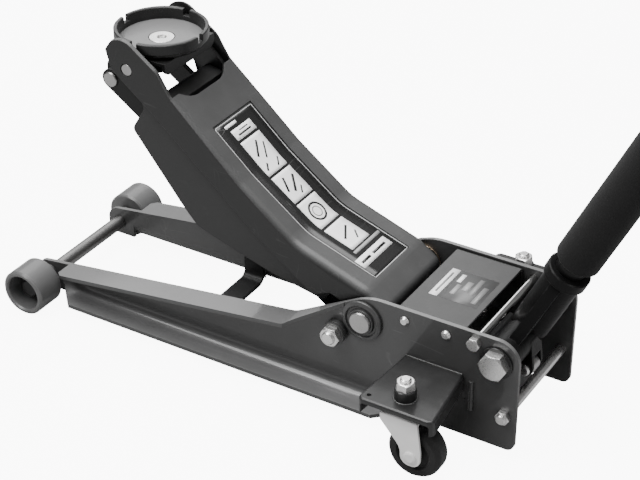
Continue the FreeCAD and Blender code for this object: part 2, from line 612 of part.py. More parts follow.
def ram():
    slot = lug_spot[0]
    half = d.cross_half
    body = new_body("Crosshead")
    low = d.ram_height - d.cross_height / 2 + 2
    high = low + d.cross_height
    block = [(slot - half, low, 3), (slot + half, low, 3), (slot + half, high, 3), (slot - half, high, 3)]
    pad(body, draw(body, "XZ", [block]), d.lug_gap - d.side_fit * 2, symmetric=True)
    slot_low = low + (d.cross_height - d.slot_height) / 2
    gap = d.slot_half
    hole = [(slot - gap, slot_low, 3), (slot + gap, slot_low, 3),
            (slot + gap, slot_low + d.slot_height, 3), (slot - gap, slot_low + d.slot_height, 3)]
    pocket(body, draw(body, "XZ", [hole]), d.lug_gap * 2)
    keep("ram_crosshead", body)
    rear = slot - half
    neck_end = rear - d.ram_neck_length
    profile = [(rear, 0), (rear, d.ram_neck), (neck_end, d.ram_neck), (neck_end - 2, d.ram_radius),
               (rear - d.ram_engaged + 1, d.ram_radius),
               (rear - d.ram_engaged, d.ram_radius - 1), (rear - d.ram_engaged, 0)]
    keep("ram_rod", place(turned("RamRod", profile, "XZ", "H_Axis"), z=d.ram_height))
    start, stop = -d.block_front + 0.1, slot - d.lug_pin - 1
    side = d.lug_pin_reach - d.spring_radius - 1
    coil_stack("return_springs", start, stop, d.spring_radius, d.spring_wire, 12,
               lambda item: place(item, 0, side, lug_spot[1]), twin=True)


# Lift arm, drawn level from its pivot and then tilted to its rest angle

def arm_place(item):
    return place(item, pivot[0], 0, pivot[1], d.rest_lift)


def along(corners):
    # Stations in front of the arm's dip stretch with its length; those behind it stay with the pivot.
    dip = d.dip_station
    stretch = (d.arm_length - dip) / d.front_stations
    moved = []
    for corner in corners:
        x = corner[0]
        if isinstance(x, (int, float)) and x > dip.number:
            x = dip + (x - dip) * stretch
        moved.append((x,) + tuple(corner[1:]))
    return moved


def crest(drop=0):
    # The arm's top line from the pivot to the front of its top plate.
    return along([(-26, -8 - drop, 14), (-16, 24 - drop, 14), (20, 24.5 - drop, 30), (112, -1 - drop, 60),
                  (200, 2 - drop, 60), (322, 17 - drop, 20)])


def taper_sides(body, front, rear):
    # Trims both sides to a plan that narrows from rear to front.
    wide = rear + 30
    for sign in (1, -1):
        side = [(-60, wide * sign), (-60, rear * sign), (60, rear * sign, 200), (320, front * sign, 200),
                (460, front * sign), (460, wide * sign)]
        pocket(body, draw(body, "XY", [along(side)]), 400)


def arm_shell():
    body = new_body("ArmShell")
    nose = d.arm_length + 12
    radius, base = d.nose_radius, -60
    front = [(350, 29.5, 20), (nose + radius, 31.5, radius), (nose + radius, base)]
    outline = [(-30, base)] + crest() + along(front)
    pad(body, draw(body, "XZ", [outline]), d.shell_rear, symmetric=True)
    dress(body, "Fillet", lambda edge: edge.BoundBox.YLength < 0.1 and edge.BoundBox.XLength > 40
          and edge.BoundBox.ZMin > base + 1, d.shell_round)
    under = [(-60, base - 20), (-60, 32), (-46, 32), (-12, -28, 12), (19, -21, 8), (30, -10, 6), (47, -14, 8),
             (60, -35, 5), (150, -35, 40), (330, -19, 30), (nose + 3, -15, 20), (nose + radius + 2, 3),
             (nose + radius + 20, 3), (nose + radius + 20, base - 20)]
    pocket(body, draw(body, "XZ", [along(under)]), 200)
    taper_sides(body, d.shell_front / 2, d.shell_rear / 2)
    wall = d.shell_wall
    mouth = [(308, -30, 30), (308, 30, 30), (330, d.shell_front / 2 - wall, 4), (345, 56), (345, -56),
             (330, wall - d.shell_front / 2, 4)]
    pocket(body, draw(body, "XY", [along(mouth)]), 120)
    deep = d.label_depth
    recess = [(22, 40), (22, 24.5 - deep), (112, -1 - deep, 60), (200, 2 - deep, 60), (268, 10.5 - deep),
              (268, 40)]
    pocket(body, draw(body, "XZ", [along(recess)]), d.label_width)
    holes = [(0, 0, d.tube_radius + d.seat_fit), (d.arm_length, 0, d.front_pin + d.seat_fit)]
    pocket(body, draw(body, "XZ", circles=holes), 200)
    room = new_body("ArmRoom")
    inside = [(-60, base - 30), (-60, 6), (-18, 6, 6), (-10, 24 - wall, 8), (20, 24.5 - wall, 26),
              (112, -1 - wall, 60), (200, 2 - wall, 60), (320, 16.6 - wall), (320, 80), (460, 80),
              (460, base - 30)]
    pad(room, draw(room, "XZ", [along(inside)]), 200, symmetric=True)
    taper_sides(room, d.shell_front / 2 - wall, d.shell_rear / 2 - wall)
    shell = doc.addObject("Part::Cut", "ArmShellHollow")
    shell.Base = body
    shell.Tool = room
    keep("arm_top_shell", arm_place(shell))


def arm_cheek():
    body = new_body("ArmCheek")
    nose = d.arm_length
    outline = [(-4, -24), (-4, 5), (2, 19), (20, 19.5, 26), (110, -8, 40), (205, -4, 40), (318, 9, 20),
               (340, 12.9, 15), (nose + 13, 12.9, 12.6), (nose + 13, -13, 12.6), (352, -18, 6), (340, -28, 6),
               (338, -62, 8), (242, -91.5, 30), (210, -d.belly_drop, 14), (185, -92, 30),
               (112, -68, 30), (46, -39, 4), (48, -12, 9), (30, -10, 6), (19, -23, 8)]
    pad(body, draw(body, "XZ", [along(outline)], lift=-(d.cheek_gap / 2)), d.cheek_thick, back=True)
    holes = [(0, 0, d.tube_radius + d.seat_fit), (nose, 0, d.front_pin + d.seat_fit)]
    pocket(body, draw(body, "XZ", circles=holes, lift=-(d.cheek_gap / 2)), d.cheek_thick * 4)
    arm_place(body)
    both_sides("arm_side_plates", body)


def arm_inner():
    end = half_gap - d.bush_flange - d.side_fit
    tube = turned("ArmTube", ring(d.bush_radius + d.seat_fit, d.tube_radius, -end, end, 1))
    keep("arm_pivot_tube", arm_place(tube))
    bore, face = d.shaft_radius + d.run_fit, end + d.bush_flange
    back = end - d.bush_length
    bush = turned("Bush", [(bore, back), (d.bush_radius, back), (d.bush_radius, end), (d.tube_radius, end),
                           (d.tube_radius, face), (bore, face)])
    both_sides("arm_bushes", arm_place(bush))
    tie = new_body("ArmTie")
    inside = d.cheek_gap
    plate = [(246, -74), (250, -78), (290, -66), (290, -60), (288, -58)]
    pad(tie, draw(tie, "XZ", [along(plate)]), d.link_gap - 8, symmetric=True)
    web = [(252, -72), (252, 2), (257, 2), (257, -72)]
    pad(tie, draw(tie, "XZ", [along(web)]), d.link_gap - 8, symmetric=True)
    bar = [(244, -4), (244, 2), (266, 3), (266, -4)]
    pad(tie, draw(tie, "XZ", [along(bar)]), inside, symmetric=True)
    belly = new_body("ArmBellyPlate")
    strip = [(118, -64), (120, -59), (206, -87), (205, -93)]
    pad(belly, draw(belly, "XZ", [along(strip)]), inside, symmetric=True)
    front = new_body("ArmNosePlate")
    bow = [(316, 3), (338, -7, 6), (338, -12.4), (332, -12.4), (312, -3)]
    pad(front, draw(front, "XZ", [along(bow)]), inside, symmetric=True)
    grouped("arm_cross_plates", [arm_place(tie), arm_place(belly), arm_place(front)])
    pin = turned("FrontPin", ring(0, d.front_pin, d.ear_gap / 2, d.shell_front / 2 - 0.5, 1))
    place(pin, arm_end[0], 0, arm_end[1])
    both_sides("saddle_yoke_pins", pin)


def ram_lugs():
    lug = new_body("Lug")
    c, s = cosine(d.lug_lag), sine(d.lug_lag)
    tip = (d.lug_reach * c, -(d.lug_reach * s))
    half = d.lug_half
    side = (half * s, half * c)
    far = (tip[0] + half * 0.95 * c, tip[1] - half * 0.95 * s)
    outline = [(-side[0], side[1] * -1), (side[0], side[1]), (far[0] + side[0], far[1] + side[1], half * 0.9),
               (far[0] - side[0], far[1] - side[1], half * 0.9)]
    pad(lug, draw(lug, "XZ", [outline], lift=-(d.lug_gap / 2)), d.lug_thick, back=True)
    holes = [(0, 0, d.tube_radius + d.seat_fit), (tip[0], tip[1], d.lug_pin + d.seat_fit)]
    pocket(lug, draw(lug, "XZ", circles=holes, lift=-(d.lug_gap / 2)), d.lug_thick * 4)
    both_sides("arm_ram_lugs", arm_place(lug))
    pin = turned("LugPin", ring(0, d.lug_pin, -d.lug_pin_reach, d.lug_pin_reach, 1))
    keep("ram_lug_pin", place(pin, lug_spot[0], 0, lug_spot[1]))


# Levelling links, saddle yoke and saddle

def link_bars():
    body = new_body("Link")
    half = d.link_half
    length = d.arm_length
    reach = half * 0.99
    outline = [(-half, -half, reach), (length + half, -half, reach), (length + half, half, reach),
               (-half, half, reach)]
    pad(body, draw(body, "XZ", [outline], lift=-(d.link_gap / 2)), d.link_thick, back=True)
    holes = [(0, 0, d.link_bolt + d.run_fit), (length, 0, d.link_pin + d.run_fit)]
    pocket(body, draw(body, "XZ", circles=holes, lift=-(d.link_gap / 2)), d.link_thick * 4)
    place(body, link_pivot[0], 0, link_pivot[1], d.rest_lift)
    both_sides("link_bars", body)


def saddle_yoke():
    body = new_body("Yoke")
    ear_in, post = d.ear_gap / 2, -d.saddle_back
    radius = d.ear_radius
    low_x, low_z = d.link_ahead, -d.link_drop
    rear, front, half = post - d.yoke_back, post + d.yoke_ahead, d.yoke_wide / 2
    ear = [(rear, d.yoke_top), (rear, d.yoke_top - 12, 6), (-radius, -radius, 8),
           (low_x - 5, low_z - radius, radius * 0.6), (low_x + radius, low_z - radius, radius * 0.9),
           (low_x + radius, low_z + radius, radius * 0.9), (front, d.yoke_top)]
    pad(body, draw(body, "XZ", [ear], lift=-ear_in), d.ear_thick, back=True)
    pad(body, draw(body, "XZ", [ear], lift=ear_in), d.ear_thick)
    table = [(rear, -half, 5), (front, -half, 14), (front, half, 14), (rear, half, 5)]
    pad(body, draw(body, "XY", [table], lift=d.yoke_top - d.yoke_plate), d.yoke_plate)
    pad(body, draw(body, "XY", circles=[(post, 0, d.stem_post + 7)], lift=d.yoke_top), d.post_length,
        back=True)
    apron = [(-half, d.yoke_top), (-half, d.yoke_top - d.yoke_apron, 9), (half, d.yoke_top - d.yoke_apron, 9),
             (half, d.yoke_top)]
    pad(body, draw(body, "YZ", [apron], lift=rear), d.yoke_plate)
    pocket(body, draw(body, "XY", circles=[(post, 0, d.stem_post + d.run_fit)], lift=d.yoke_top), 100)
    holes = [(0, 0, d.front_pin + d.run_fit), (low_x, low_z, d.link_pin + d.seat_fit)]
    pocket(body, draw(body, "XZ", circles=holes), 200)
    keep("saddle_yoke", place(body, arm_end[0], 0, arm_end[1]))
    inner, outer = d.ear_gap / 2, d.link_gap / 2 + d.link_thick + d.side_fit
    profile = [(0, inner), (d.link_pin, inner), (d.link_pin, outer), (d.pin_head, outer),
               (d.pin_head, outer + 1.5), (d.pin_head - 1, outer + 2.4), (0, outer + 2.4)]
    pin = turned("LinkPin", profile)
    both_sides("link_front_pins", place(pin, arm_end[0] + low_x, 0, arm_end[1] + low_z))


def saddle():
    base = d.saddle_base
    floor, top = base + d.saddle_floor, base + d.saddle_tall
    rim = d.saddle_radius
    inside = rim - d.saddle_wall
    profile = [(0, base - d.post_length + 2), (d.stem_post - 1, base - d.post_length + 2),
               (d.stem_post, base - d.post_length + 3), (d.stem_post, base), (rim - 6, base),
               (rim - 3.5, base + 3), (rim - 3.5, base + 5), (rim, base + 7), (rim, top - 1),
               (rim - 1, top), (inside + 1, top), (inside, top - 1), (inside - 1, floor),
               (d.bolt_disc + d.seat_fit, floor), (d.bolt_disc + d.seat_fit, floor - d.bolt_disc_thick),
               (0, floor - d.bolt_disc_thick)]
    body = turned("Saddle", profile, "XZ")
    half = d.notch_width / 2
    lug = [(-rim - 2, -half), (rim + 2, -half), (rim + 2, half), (-rim - 2, half)]
    cross = [(y, x) for x, y in lug]
    for outline in (lug, cross):
        ring_cut = draw(body, "XY", [outline], lift=floor + 6)
        pocket(body, ring_cut, d.saddle_tall, symmetric=False, back=True)
    seat = (arm_end[0] - d.saddle_back, 0, arm_end[1])
    keep("saddle_cup", place(body, *seat))
    low = floor - d.bolt_disc_thick
    bolt = [(0, low), (d.bolt_disc, low), (d.bolt_disc, floor - 1), (d.bolt_disc - 1, floor),
            (d.bolt_socket, floor), (d.bolt_socket, low + 0.8), (0, low + 0.8)]
    keep("saddle_bolt", place(turned("SaddleBolt", bolt, "XZ"), *seat))


# Casters

def caster_brackets():
    body = new_body("Bracket")
    top = d.bracket_height
    inner, outer = outer_face, d.caster_side + d.bracket_beyond
    plan = [(-d.bracket_root_front, inner), (-d.bracket_front, outer, 7), (-d.bracket_rear, outer, 7),
            (-d.bracket_root_rear, inner)]
    deep = d.bracket_thick + d.bracket_lip
    pad(body, draw(body, "XY", [plan], lift=top), deep, back=True)
    wall = d.bracket_thick
    room = [(-d.bracket_root_front - wall, inner - 1), (-d.bracket_front - wall, outer - wall, 3),
            (-d.bracket_rear + wall, outer - wall, 3), (-d.bracket_root_rear + wall, inner - 1)]
    pocket(body, draw(body, "XY", [room], lift=top - deep - 1), d.bracket_lip + 1, symmetric=False, back=True)
    low, slant = top - d.bracket_edge, d.bracket_lip
    window = [(-d.bracket_front - wall, low, 3), (-d.bracket_front - wall, low - slant * 2),
              (-d.bracket_rear + wall, low - slant * 2), (-d.bracket_rear + wall, low, 3)]
    pocket(body, draw(body, "XZ", [window], lift=-outer), wall * 3)
    corner = d.bracket_hole * 4
    holes = [(-d.caster_back, d.caster_side, d.stud_radius + d.seat_fit),
             (-d.bracket_front - corner, outer - corner, d.bracket_hole)]
    pocket(body, draw(body, "XY", circles=holes, lift=top), wall * 4)
    dress(body, "Fillet", lambda edge: edge.BoundBox.ZMin > top.number - 0.01
          and edge.BoundBox.YMin > inner.number + 0.01 and edge.BoundBox.XLength > 20, 3)
    spot = (-d.caster_back, d.caster_side, 0)
    boss_top = top + d.stud_boss_tall
    profile = ring(d.stud_radius + d.seat_fit, d.stud_boss, top, boss_top, 1)
    boss = place(turned("StudBoss", profile, "XZ"), *spot)
    grouped("caster_brackets", [body, mirrored(body, "BracketTwin"), boss, mirrored(boss, "StudBossTwin")])
    nut = new_body("StudNut")
    pad(nut, draw(nut, "XY", [hexagon(d.stud_nut_flats)], lift=boss_top), d.stud_nut_thick)
    bore = [(0, 0, d.stud_radius + d.seat_fit)]
    pocket(nut, draw(nut, "XY", circles=bore, lift=boss_top), d.stud_nut_thick * 3)
    nut_top = boss_top + d.stud_nut_thick
    half = d.stud_nut_flats / 2
    bevel = [(half, nut_top + 1), (half - 0.6, nut_top + 0.01), (half + 4, nut_top - 3.4),
             (half + 4, nut_top + 1)]
    spin(nut, draw(nut, "XZ", [bevel]), kind="Groove")
    both_sides("caster_nuts", place(nut, *spot))
    race_low = top - wall - d.race_thick + 1.2
    head = d.fork_top - d.fork_sheet - d.side_fit
    stud = [(0, head - 4), (11, head - 4), (11, head), (d.stud_radius, head), (d.stud_radius, race_low),
            (d.race_radius - 4, race_low), (d.race_radius, race_low + 3), (d.race_radius, top - wall),
            (d.stud_radius, top - wall), (d.stud_radius, nut_top + 2), (d.stud_radius - 1.5, nut_top + 3.5),
            (0, nut_top + 3.5)]
    both_sides("caster_studs", place(turned("Stud", stud, "XZ"), *spot))


def caster():
    fork = new_body("Fork")
    axle = (-d.caster_trail, d.caster_radius)
    eye, top = d.fork_eye, d.fork_top
    side = [(d.fork_front, top), (-d.fork_back, top), (axle[0] - eye, axle[1] + 8, 20),
            (axle[0] - eye, axle[1] - eye, eye * 0.9), (axle[0] + eye, axle[1] - eye, eye * 0.9),
            (axle[0] + eye, axle[1] + 8, 20), (d.fork_front, top - 9)]
    width = d.fork_gap + d.fork_sheet * 2
    pad(fork, draw(fork, "XZ", [side]), width, symmetric=True)
    half, under = d.fork_gap / 2, top - d.fork_sheet
    room = [(-half, 0), (-half, under, 3), (half, under, 3), (half, 0)]
    pocket(fork, draw(fork, "YZ", [room]), 200)
    pocket(fork, draw(fork, "XY", circles=[(0, 0, d.stud_radius + d.run_fit)], lift=top), 20)
    pocket(fork, draw(fork, "XZ", circles=[(axle[0], axle[1], d.caster_axle + d.seat_fit)]), width * 2)
    seat = ring(d.stud_radius + d.run_fit, d.race_radius - 6, top, top + 1.9)
    spin(fork, draw(fork, "XZ", [seat]))
    dress(fork, "Fillet", lambda edge: abs(edge.BoundBox.ZMin - top.number) < 0.01
          and edge.BoundBox.ZLength < 0.01
          and abs(abs(edge.BoundBox.YMin) - width.number / 2) < 0.01, 2)
    pin = turned("CasterAxle", [(0, -half - 6), (5, -half - 6), (d.axle_head, -half - 5),
                                (d.axle_head, -half - d.fork_sheet), (d.caster_axle, -half - d.fork_sheet),
                                (d.caster_axle, half + d.fork_sheet), (d.axle_head, half + d.fork_sheet),
                                (d.axle_head, half + 5), (5, half + 6), (0, half + 6)])
    wheel_half = d.caster_width / 2
    radius = d.caster_radius
    bore = d.caster_axle + d.run_fit
    hub_half = half - d.side_fit
    web = wheel_half - 3
    wheel = turned("CasterWheel", [
        (bore, -hub_half), (8, -hub_half), (8, -web), (d.caster_hub - 2, -web), (d.caster_hub, -wheel_half),
        (radius - 4, -wheel_half, 2), (radius, -wheel_half + 5, 6), (radius, wheel_half - 5, 6),
        (radius - 4, wheel_half, 2), (d.caster_hub, wheel_half), (d.caster_hub - 2, web), (8, web),
        (8, hub_half), (bore, hub_half)])
    spot = (-d.caster_back, d.caster_side)
    place(fork, spot[0], spot[1], 0)
    for item in (pin, wheel):
        place(item, spot[0] + axle[0], spot[1], axle[1])
    grouped("caster_fork_left", [fork, pin])
    grouped("caster_fork_right", [mirrored(fork, "ForkTwin"), mirrored(pin, "CasterAxleTwin")])
    keep("caster_wheel_left", wheel)
    keep("caster_wheel_right", mirrored(wheel, "CasterWheelTwin"))


# Handle socket and handle, drawn upright from the socket's pivot and then leaned back

def lean_place(item):
    return place(item, socket[0], 0, socket[1], d.lean)


def trunnion(name):
    # The left pivot of the socket with its gusset, fitted round the upright tube.
    body = new_body(name)
    inner = d.tube_outer + d.run_fit
    pad(body, draw(body, "XZ", circles=[(0, 0, d.yoke_radius)], lift=-inner), d.yoke_half - inner, back=True)
    ring_low = d.socket_length - d.collar_tall
    gusset = [(inner, d.socket_foot), (inner, ring_low), (d.socket_radius + 1, ring_low),
              (d.gusset_foot, d.socket_foot)]
    pad(body, draw(body, "YZ", [gusset]), d.gusset_thick, symmetric=True)
    pocket(body, draw(body, "XY", circles=[(0, 0, d.socket_radius)], lift=d.socket_foot), d.socket_length,
           symmetric=False, back=True)
    pocket(body, draw(body, "XZ", circles=[(0, 0, d.socket_bolt + d.run_fit)]), d.yoke_half * 3)
    return body


def crank(name):
    # Two cheeks that hold the pump roller behind the pivot, joined by a web above it.
    body = new_body(name)
    low = d.pump_side - d.crank_wheel / 2 - d.crank_cheek - d.side_fit
    high = d.pump_side + d.crank_wheel / 2 + d.crank_cheek + d.side_fit
    back, drop = -d.crank_back, -d.crank_drop
    half, inner = 8, d.tube_outer + d.run_fit
    eye = half - 1
    side = [(0, 17), (-14, 14, 6), (back - half, drop + half - 2, eye), (back - half, drop - half, eye),
            (back + half, drop - half, eye), (6, -16)]
    pad(body, draw(body, "XZ", [side], lift=-low), high - low, back=True)
    gap = d.crank_wheel / 2 + d.side_fit
    slot = [(back - 16, d.pump_side - gap), (back + 40, d.pump_side - gap),
            (back + 40, d.pump_side + gap), (back - 16, d.pump_side + gap)]
    pocket(body, draw(body, "XY", [slot], lift=drop), 36)
    pocket(body, draw(body, "XY", circles=[(0, 0, d.socket_radius)]), d.socket_length)
    pocket(body, draw(body, "XZ", circles=[(0, 0, d.yoke_radius)], lift=-inner), d.yoke_half,
           symmetric=False, back=False)
    pocket(body, draw(body, "XZ", circles=[(back, drop, d.crank_pin + d.seat_fit)], lift=-d.pump_side), 60)
    return body


def handle_socket():
    bore, outer = d.tube_outer + d.run_fit, d.socket_radius
    low, ring_low, high = d.socket_foot, d.socket_length - d.collar_tall, d.socket_length
    profile = [(bore, low), (outer, low), (outer, ring_low), (d.collar_ring, ring_low + 1),
               (d.collar_ring, high - 1), (d.collar_ring - 1, high), (bore, high)]
    parts = [turned("SocketTube", profile, "XZ"), trunnion("SocketLeft"), crank("SocketCrank")]
    for item in parts:
        lean_place(item)
    grouped("handle_socket", parts + [mirrored(parts[1], "SocketRight")])
    wheel = ring(d.crank_pin + d.run_fit, d.crank_radius, -d.crank_wheel / 2, d.crank_wheel / 2, 0.8)
    spot = crank_spot()
    keep("pump_roller", place(turned("PumpRoller", wheel), spot[0], d.pump_side, spot[1]))
    end = d.crank_wheel / 2 + d.crank_cheek + d.side_fit
    head = [(0, -end - 1), (d.crank_pin, -end - 1), (d.crank_pin, end), (d.crank_pin + 3, end),
            (d.crank_pin + 3, end + 2), (d.crank_pin + 1, end + 3.5), (0, end + 3.5)]
    keep("pump_roller_pin", place(turned("RollerPin", head), spot[0], d.pump_side, spot[1]))
    lock = new_body("LockBolt")
    pad(lock, draw(lock, "XZ", [hexagon(as_size(13))], lift=d.collar_ring), 6)
    rise = d.socket_length - d.collar_tall / 2
    place(lock, socket[0] - rise * sine(d.lean), 0, socket[1] + rise * cosine(d.lean), d.lean)
    keep("handle_lock_bolt", lock)
    outer = outer_face + d.washer_thick
    washer = turned("SocketWasher", ring(d.socket_bolt + d.seat_fit, d.washer_radius, outer_face, outer, 0.6))
    place(washer, socket[0], 0, socket[1])
    bolt = hex_head("SocketBolt", d.bolt_flats, d.bolt_head, outer + d.bolt_head)
    shank = draw(bolt, "XZ", circles=[(0, 0, d.socket_bolt)], lift=-d.bolt_inner)
    pad(bolt, shank, outer - d.bolt_inner + 1, back=True)
    place(bolt, socket[0], 0, socket[1])
    twins = [mirrored(bolt, "SocketBoltTwin"), mirrored(washer, "SocketWasherTwin")]
    grouped("socket_pivot_bolts", [bolt, washer] + twins)


def handle():
    start, end = d.tube_start, d.lower_length
    lower = ring(d.tube_bore, d.tube_outer, start, end, 0.8)
    keep("handle_lower_tube", lean_place(turned("LowerTube", lower, "XZ")))
    reach = d.handle_length
    upper = ring(d.upper_bore, d.tube_bore - d.seat_fit, d.lower_length - d.upper_overlap, reach - 4, 0.8)
    keep("handle_upper_tube", lean_place(turned("UpperTube", upper, "XZ")))
    foam_end = d.lower_length - d.foam_short
    skin = d.tube_outer + d.seat_fit
    foam = [(skin, d.foam_start), (d.foam_radius - 5, d.foam_start), (d.foam_radius, d.foam_start + 5, 4),
            (d.foam_radius, foam_end - 5, 4), (d.foam_radius - 5, foam_end), (skin, foam_end)]
    keep("handle_foam_sleeve", lean_place(turned("Foam", foam, "XZ")))
    grip_start = reach - d.grip_length
    skin = d.tube_bore
    grip = [(skin, grip_start), (d.grip_radius - 2, grip_start), (d.grip_radius, grip_start + 3, 2),
            (d.grip_radius, reach - 2, 6), (0, reach), (0, reach - 4), (skin, reach - 4)]
    keep("handle_grip", lean_place(turned("Grip", grip, "XZ")))
    button = turned("Button", [(0, 0), (4, 0), (4, 3), (2.5, 4.5), (0, 4.5)])
    keep("handle_spring_button", button)
    rise = end - 9
    place(button, socket[0] - rise * sine(d.lean), d.tube_outer, socket[1] + rise * cosine(d.lean))
    fork = new_body("DriveFork")
    pad(fork, draw(fork, "XY", circles=[(0, 0, d.tube_bore - d.seat_fit)], lift=start - 2), 10)
    near, far = d.fork_prong, d.fork_prong + d.prong_thick
    half = d.prong_wide / 2
    for sign in (1, -1):
        prong = [(near * sign, -half), (far * sign, -half), (far * sign, half), (near * sign, half)]
        pad(fork, draw(fork, "XY", [prong], lift=-1), start)
    keep("release_drive_fork", lean_place(fork))
    stem = new_body("Stem")
    neck = 12
    round_ball = d.ball_radius
    ball = [(-round_ball, 0), (-round_ball * 0.7, round_ball * 0.714), (0, round_ball),
            (round_ball * 0.7, round_ball * 0.714), (round_ball * 0.88, d.neck_radius),
            (neck, d.neck_radius), (neck + 3, d.stem_radius), (d.stem_length, d.stem_radius),
            (d.stem_length, 0)]
    spin(stem, draw(stem, "XZ", [ball]), "H_Axis")
    pad(stem, draw(stem, "XZ", circles=[(0, 0, 2.2)]), d.ball_radius * 2 + 10, symmetric=True)
    keep("release_valve_stem", place(stem, socket[0], 0, socket[1], -d.stem_slope))


side_plate()
front_axle()
front_roller()
cross_members()
cover()
frame_pivots()
pump_plunger(pump_block())
ram()
arm_shell()
arm_cheek()
arm_inner()
ram_lugs()
link_bars()
saddle_yoke()
saddle()
caster_brackets()
caster()
handle_socket()
handle()
doc.recompute()

broken = [item.Label for item in doc.Objects if "Invalid" in item.State or "Error" in item.State]
if broken:
    raise RuntimeError("did not build: %s" % ", ".join(broken))
for label, item in nodes.items():
    if item.Shape.isNull() or not item.Shape.isValid():
        raise RuntimeError("%s has no valid shape" % label)

os.makedirs("parts", exist_ok=True)
for label, item in nodes.items():
    item.Shape.exportStep(os.path.join("parts", label + ".step"))
print("%d sub-parts, %d solids" % (len(nodes), sum(len(item.Shape.Solids) for item in nodes.values())))
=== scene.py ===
import bpy
import bmesh
import json
import math
from mathutils import Matrix, Vector
from mathutils.bvhtree import BVHTree


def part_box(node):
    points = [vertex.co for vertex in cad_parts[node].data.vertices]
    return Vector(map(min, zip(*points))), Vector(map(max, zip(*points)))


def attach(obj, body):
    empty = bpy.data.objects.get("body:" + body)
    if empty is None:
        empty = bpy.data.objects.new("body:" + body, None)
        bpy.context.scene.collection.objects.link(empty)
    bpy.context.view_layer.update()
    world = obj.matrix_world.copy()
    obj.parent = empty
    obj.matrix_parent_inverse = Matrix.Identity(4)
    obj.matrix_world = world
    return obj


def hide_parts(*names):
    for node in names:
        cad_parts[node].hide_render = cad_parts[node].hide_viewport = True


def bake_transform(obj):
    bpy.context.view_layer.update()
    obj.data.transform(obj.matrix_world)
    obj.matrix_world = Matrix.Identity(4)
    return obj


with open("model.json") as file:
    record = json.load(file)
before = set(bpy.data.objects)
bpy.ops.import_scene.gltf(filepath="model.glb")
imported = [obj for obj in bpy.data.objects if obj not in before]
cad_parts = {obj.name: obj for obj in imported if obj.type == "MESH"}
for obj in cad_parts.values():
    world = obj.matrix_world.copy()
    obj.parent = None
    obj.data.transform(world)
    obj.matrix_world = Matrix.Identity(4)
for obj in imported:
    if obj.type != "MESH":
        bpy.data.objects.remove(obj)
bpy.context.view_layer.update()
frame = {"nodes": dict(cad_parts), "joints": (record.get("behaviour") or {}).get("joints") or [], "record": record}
nodes = frame["nodes"]
joints = {joint["name"]: joint for joint in frame["joints"]}
alongX, alongZ = Vector((1, 0, 0)), Vector((0, 0, 1))
bothSides = (("left", 1), ("right", -1))
print("frame loaded:", len(nodes), "nodes")


# Small helpers

def addObject(name, data, body=None, replaced=()):
    # Puts a piece in the scene, on its body, and hides the CAD nodes that it replaces.
    piece = bpy.data.objects.new(name, data)
    bpy.context.scene.collection.objects.link(piece)
    if body:
        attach(piece, body)
    if replaced:
        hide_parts(*replaced)
    return piece


def keepMesh(name, bm):
    mesh = bpy.data.meshes.new(name)
    bm.to_mesh(mesh)
    bm.free()
    return mesh


def solids(name):
    # The separate solids of a CAD node, each as (low corner, high corner), largest first.
    bm = bmesh.new()
    bm.from_mesh(nodes[name].data)
    bmesh.ops.remove_doubles(bm, verts=bm.verts, dist=1e-6)
    left, found = set(bm.verts), []
    while left:
        stack, members = [left.pop()], []
        while stack:
            vert = stack.pop()
            members.append(vert.co.copy())
            for edge in vert.link_edges:
                other = edge.other_vert(vert)
                if other in left:
                    left.remove(other)
                    stack.append(other)
        low = Vector(min(co[i] for co in members) for i in range(3))
        high = Vector(max(co[i] for co in members) for i in range(3))
        found.append((low, high))
    bm.free()
    return sorted(found, key=lambda box: -(box[1] - box[0]).length)


# Node helpers, for shaders and for geometry nodes

def feed(tree, socket, value):
    # Links another node's output to a socket, or sets a plain value on it.
    if isinstance(value, bpy.types.NodeSocket):
        tree.links.new(value, socket)
    else:
        socket.default_value = value


def addNode(tree, kind, inputs=None, **settings):
    # Makes a node with its settings, and feeds its inputs by name or number.
    node = tree.nodes.new(kind)
    for key, value in settings.items():
        setattr(node, key, value)
    for key, value in (inputs or {}).items():
        feed(tree, node.inputs[key], value)
    return node


def mathNode(tree, operation, first, second=None, clamp=False):
    inputs = {0: first} if second is None else {0: first, 1: second}
    return addNode(tree, "ShaderNodeMath", inputs, operation=operation, use_clamp=clamp).outputs[0]


def noiseNode(tree, vector, scale, detail=3.0, roughness=0.55):
    inputs = {"Vector": vector, "Scale": scale, "Detail": detail, "Roughness": roughness}
    return addNode(tree, "ShaderNodeTexNoise", inputs).outputs[0]


def rangeNode(tree, value, fromLow, fromHigh, toLow=0.0, toHigh=1.0):
    inputs = {"Value": value, "From Min": fromLow, "From Max": fromHigh, "To Min": toLow, "To Max": toHigh}
    return addNode(tree, "ShaderNodeMapRange", inputs).outputs[0]


def mixColor(tree, factor, first, second):
    inputs = {"Factor": factor, 6: first, 7: second}    # 6 and 7 are the two colours
    return addNode(tree, "ShaderNodeMix", inputs, data_type="RGBA").outputs[2]


def bumpNode(tree, height, strength, distance, normal=None):
    inputs = {"Strength": strength, "Distance": distance, "Height": height}
    if normal is not None:
        inputs["Normal"] = normal
    return addNode(tree, "ShaderNodeBump", inputs).outputs[0]


def objectPlace(tree):
    return addNode(tree, "ShaderNodeTexCoord").outputs["Object"]


def surfaceNormal(tree):
    return addNode(tree, "ShaderNodeNewGeometry").outputs["Normal"]


def axisOf(tree, vector, axis):
    return addNode(tree, "ShaderNodeSeparateXYZ", {0: vector}).outputs[axis]


# Shader groups

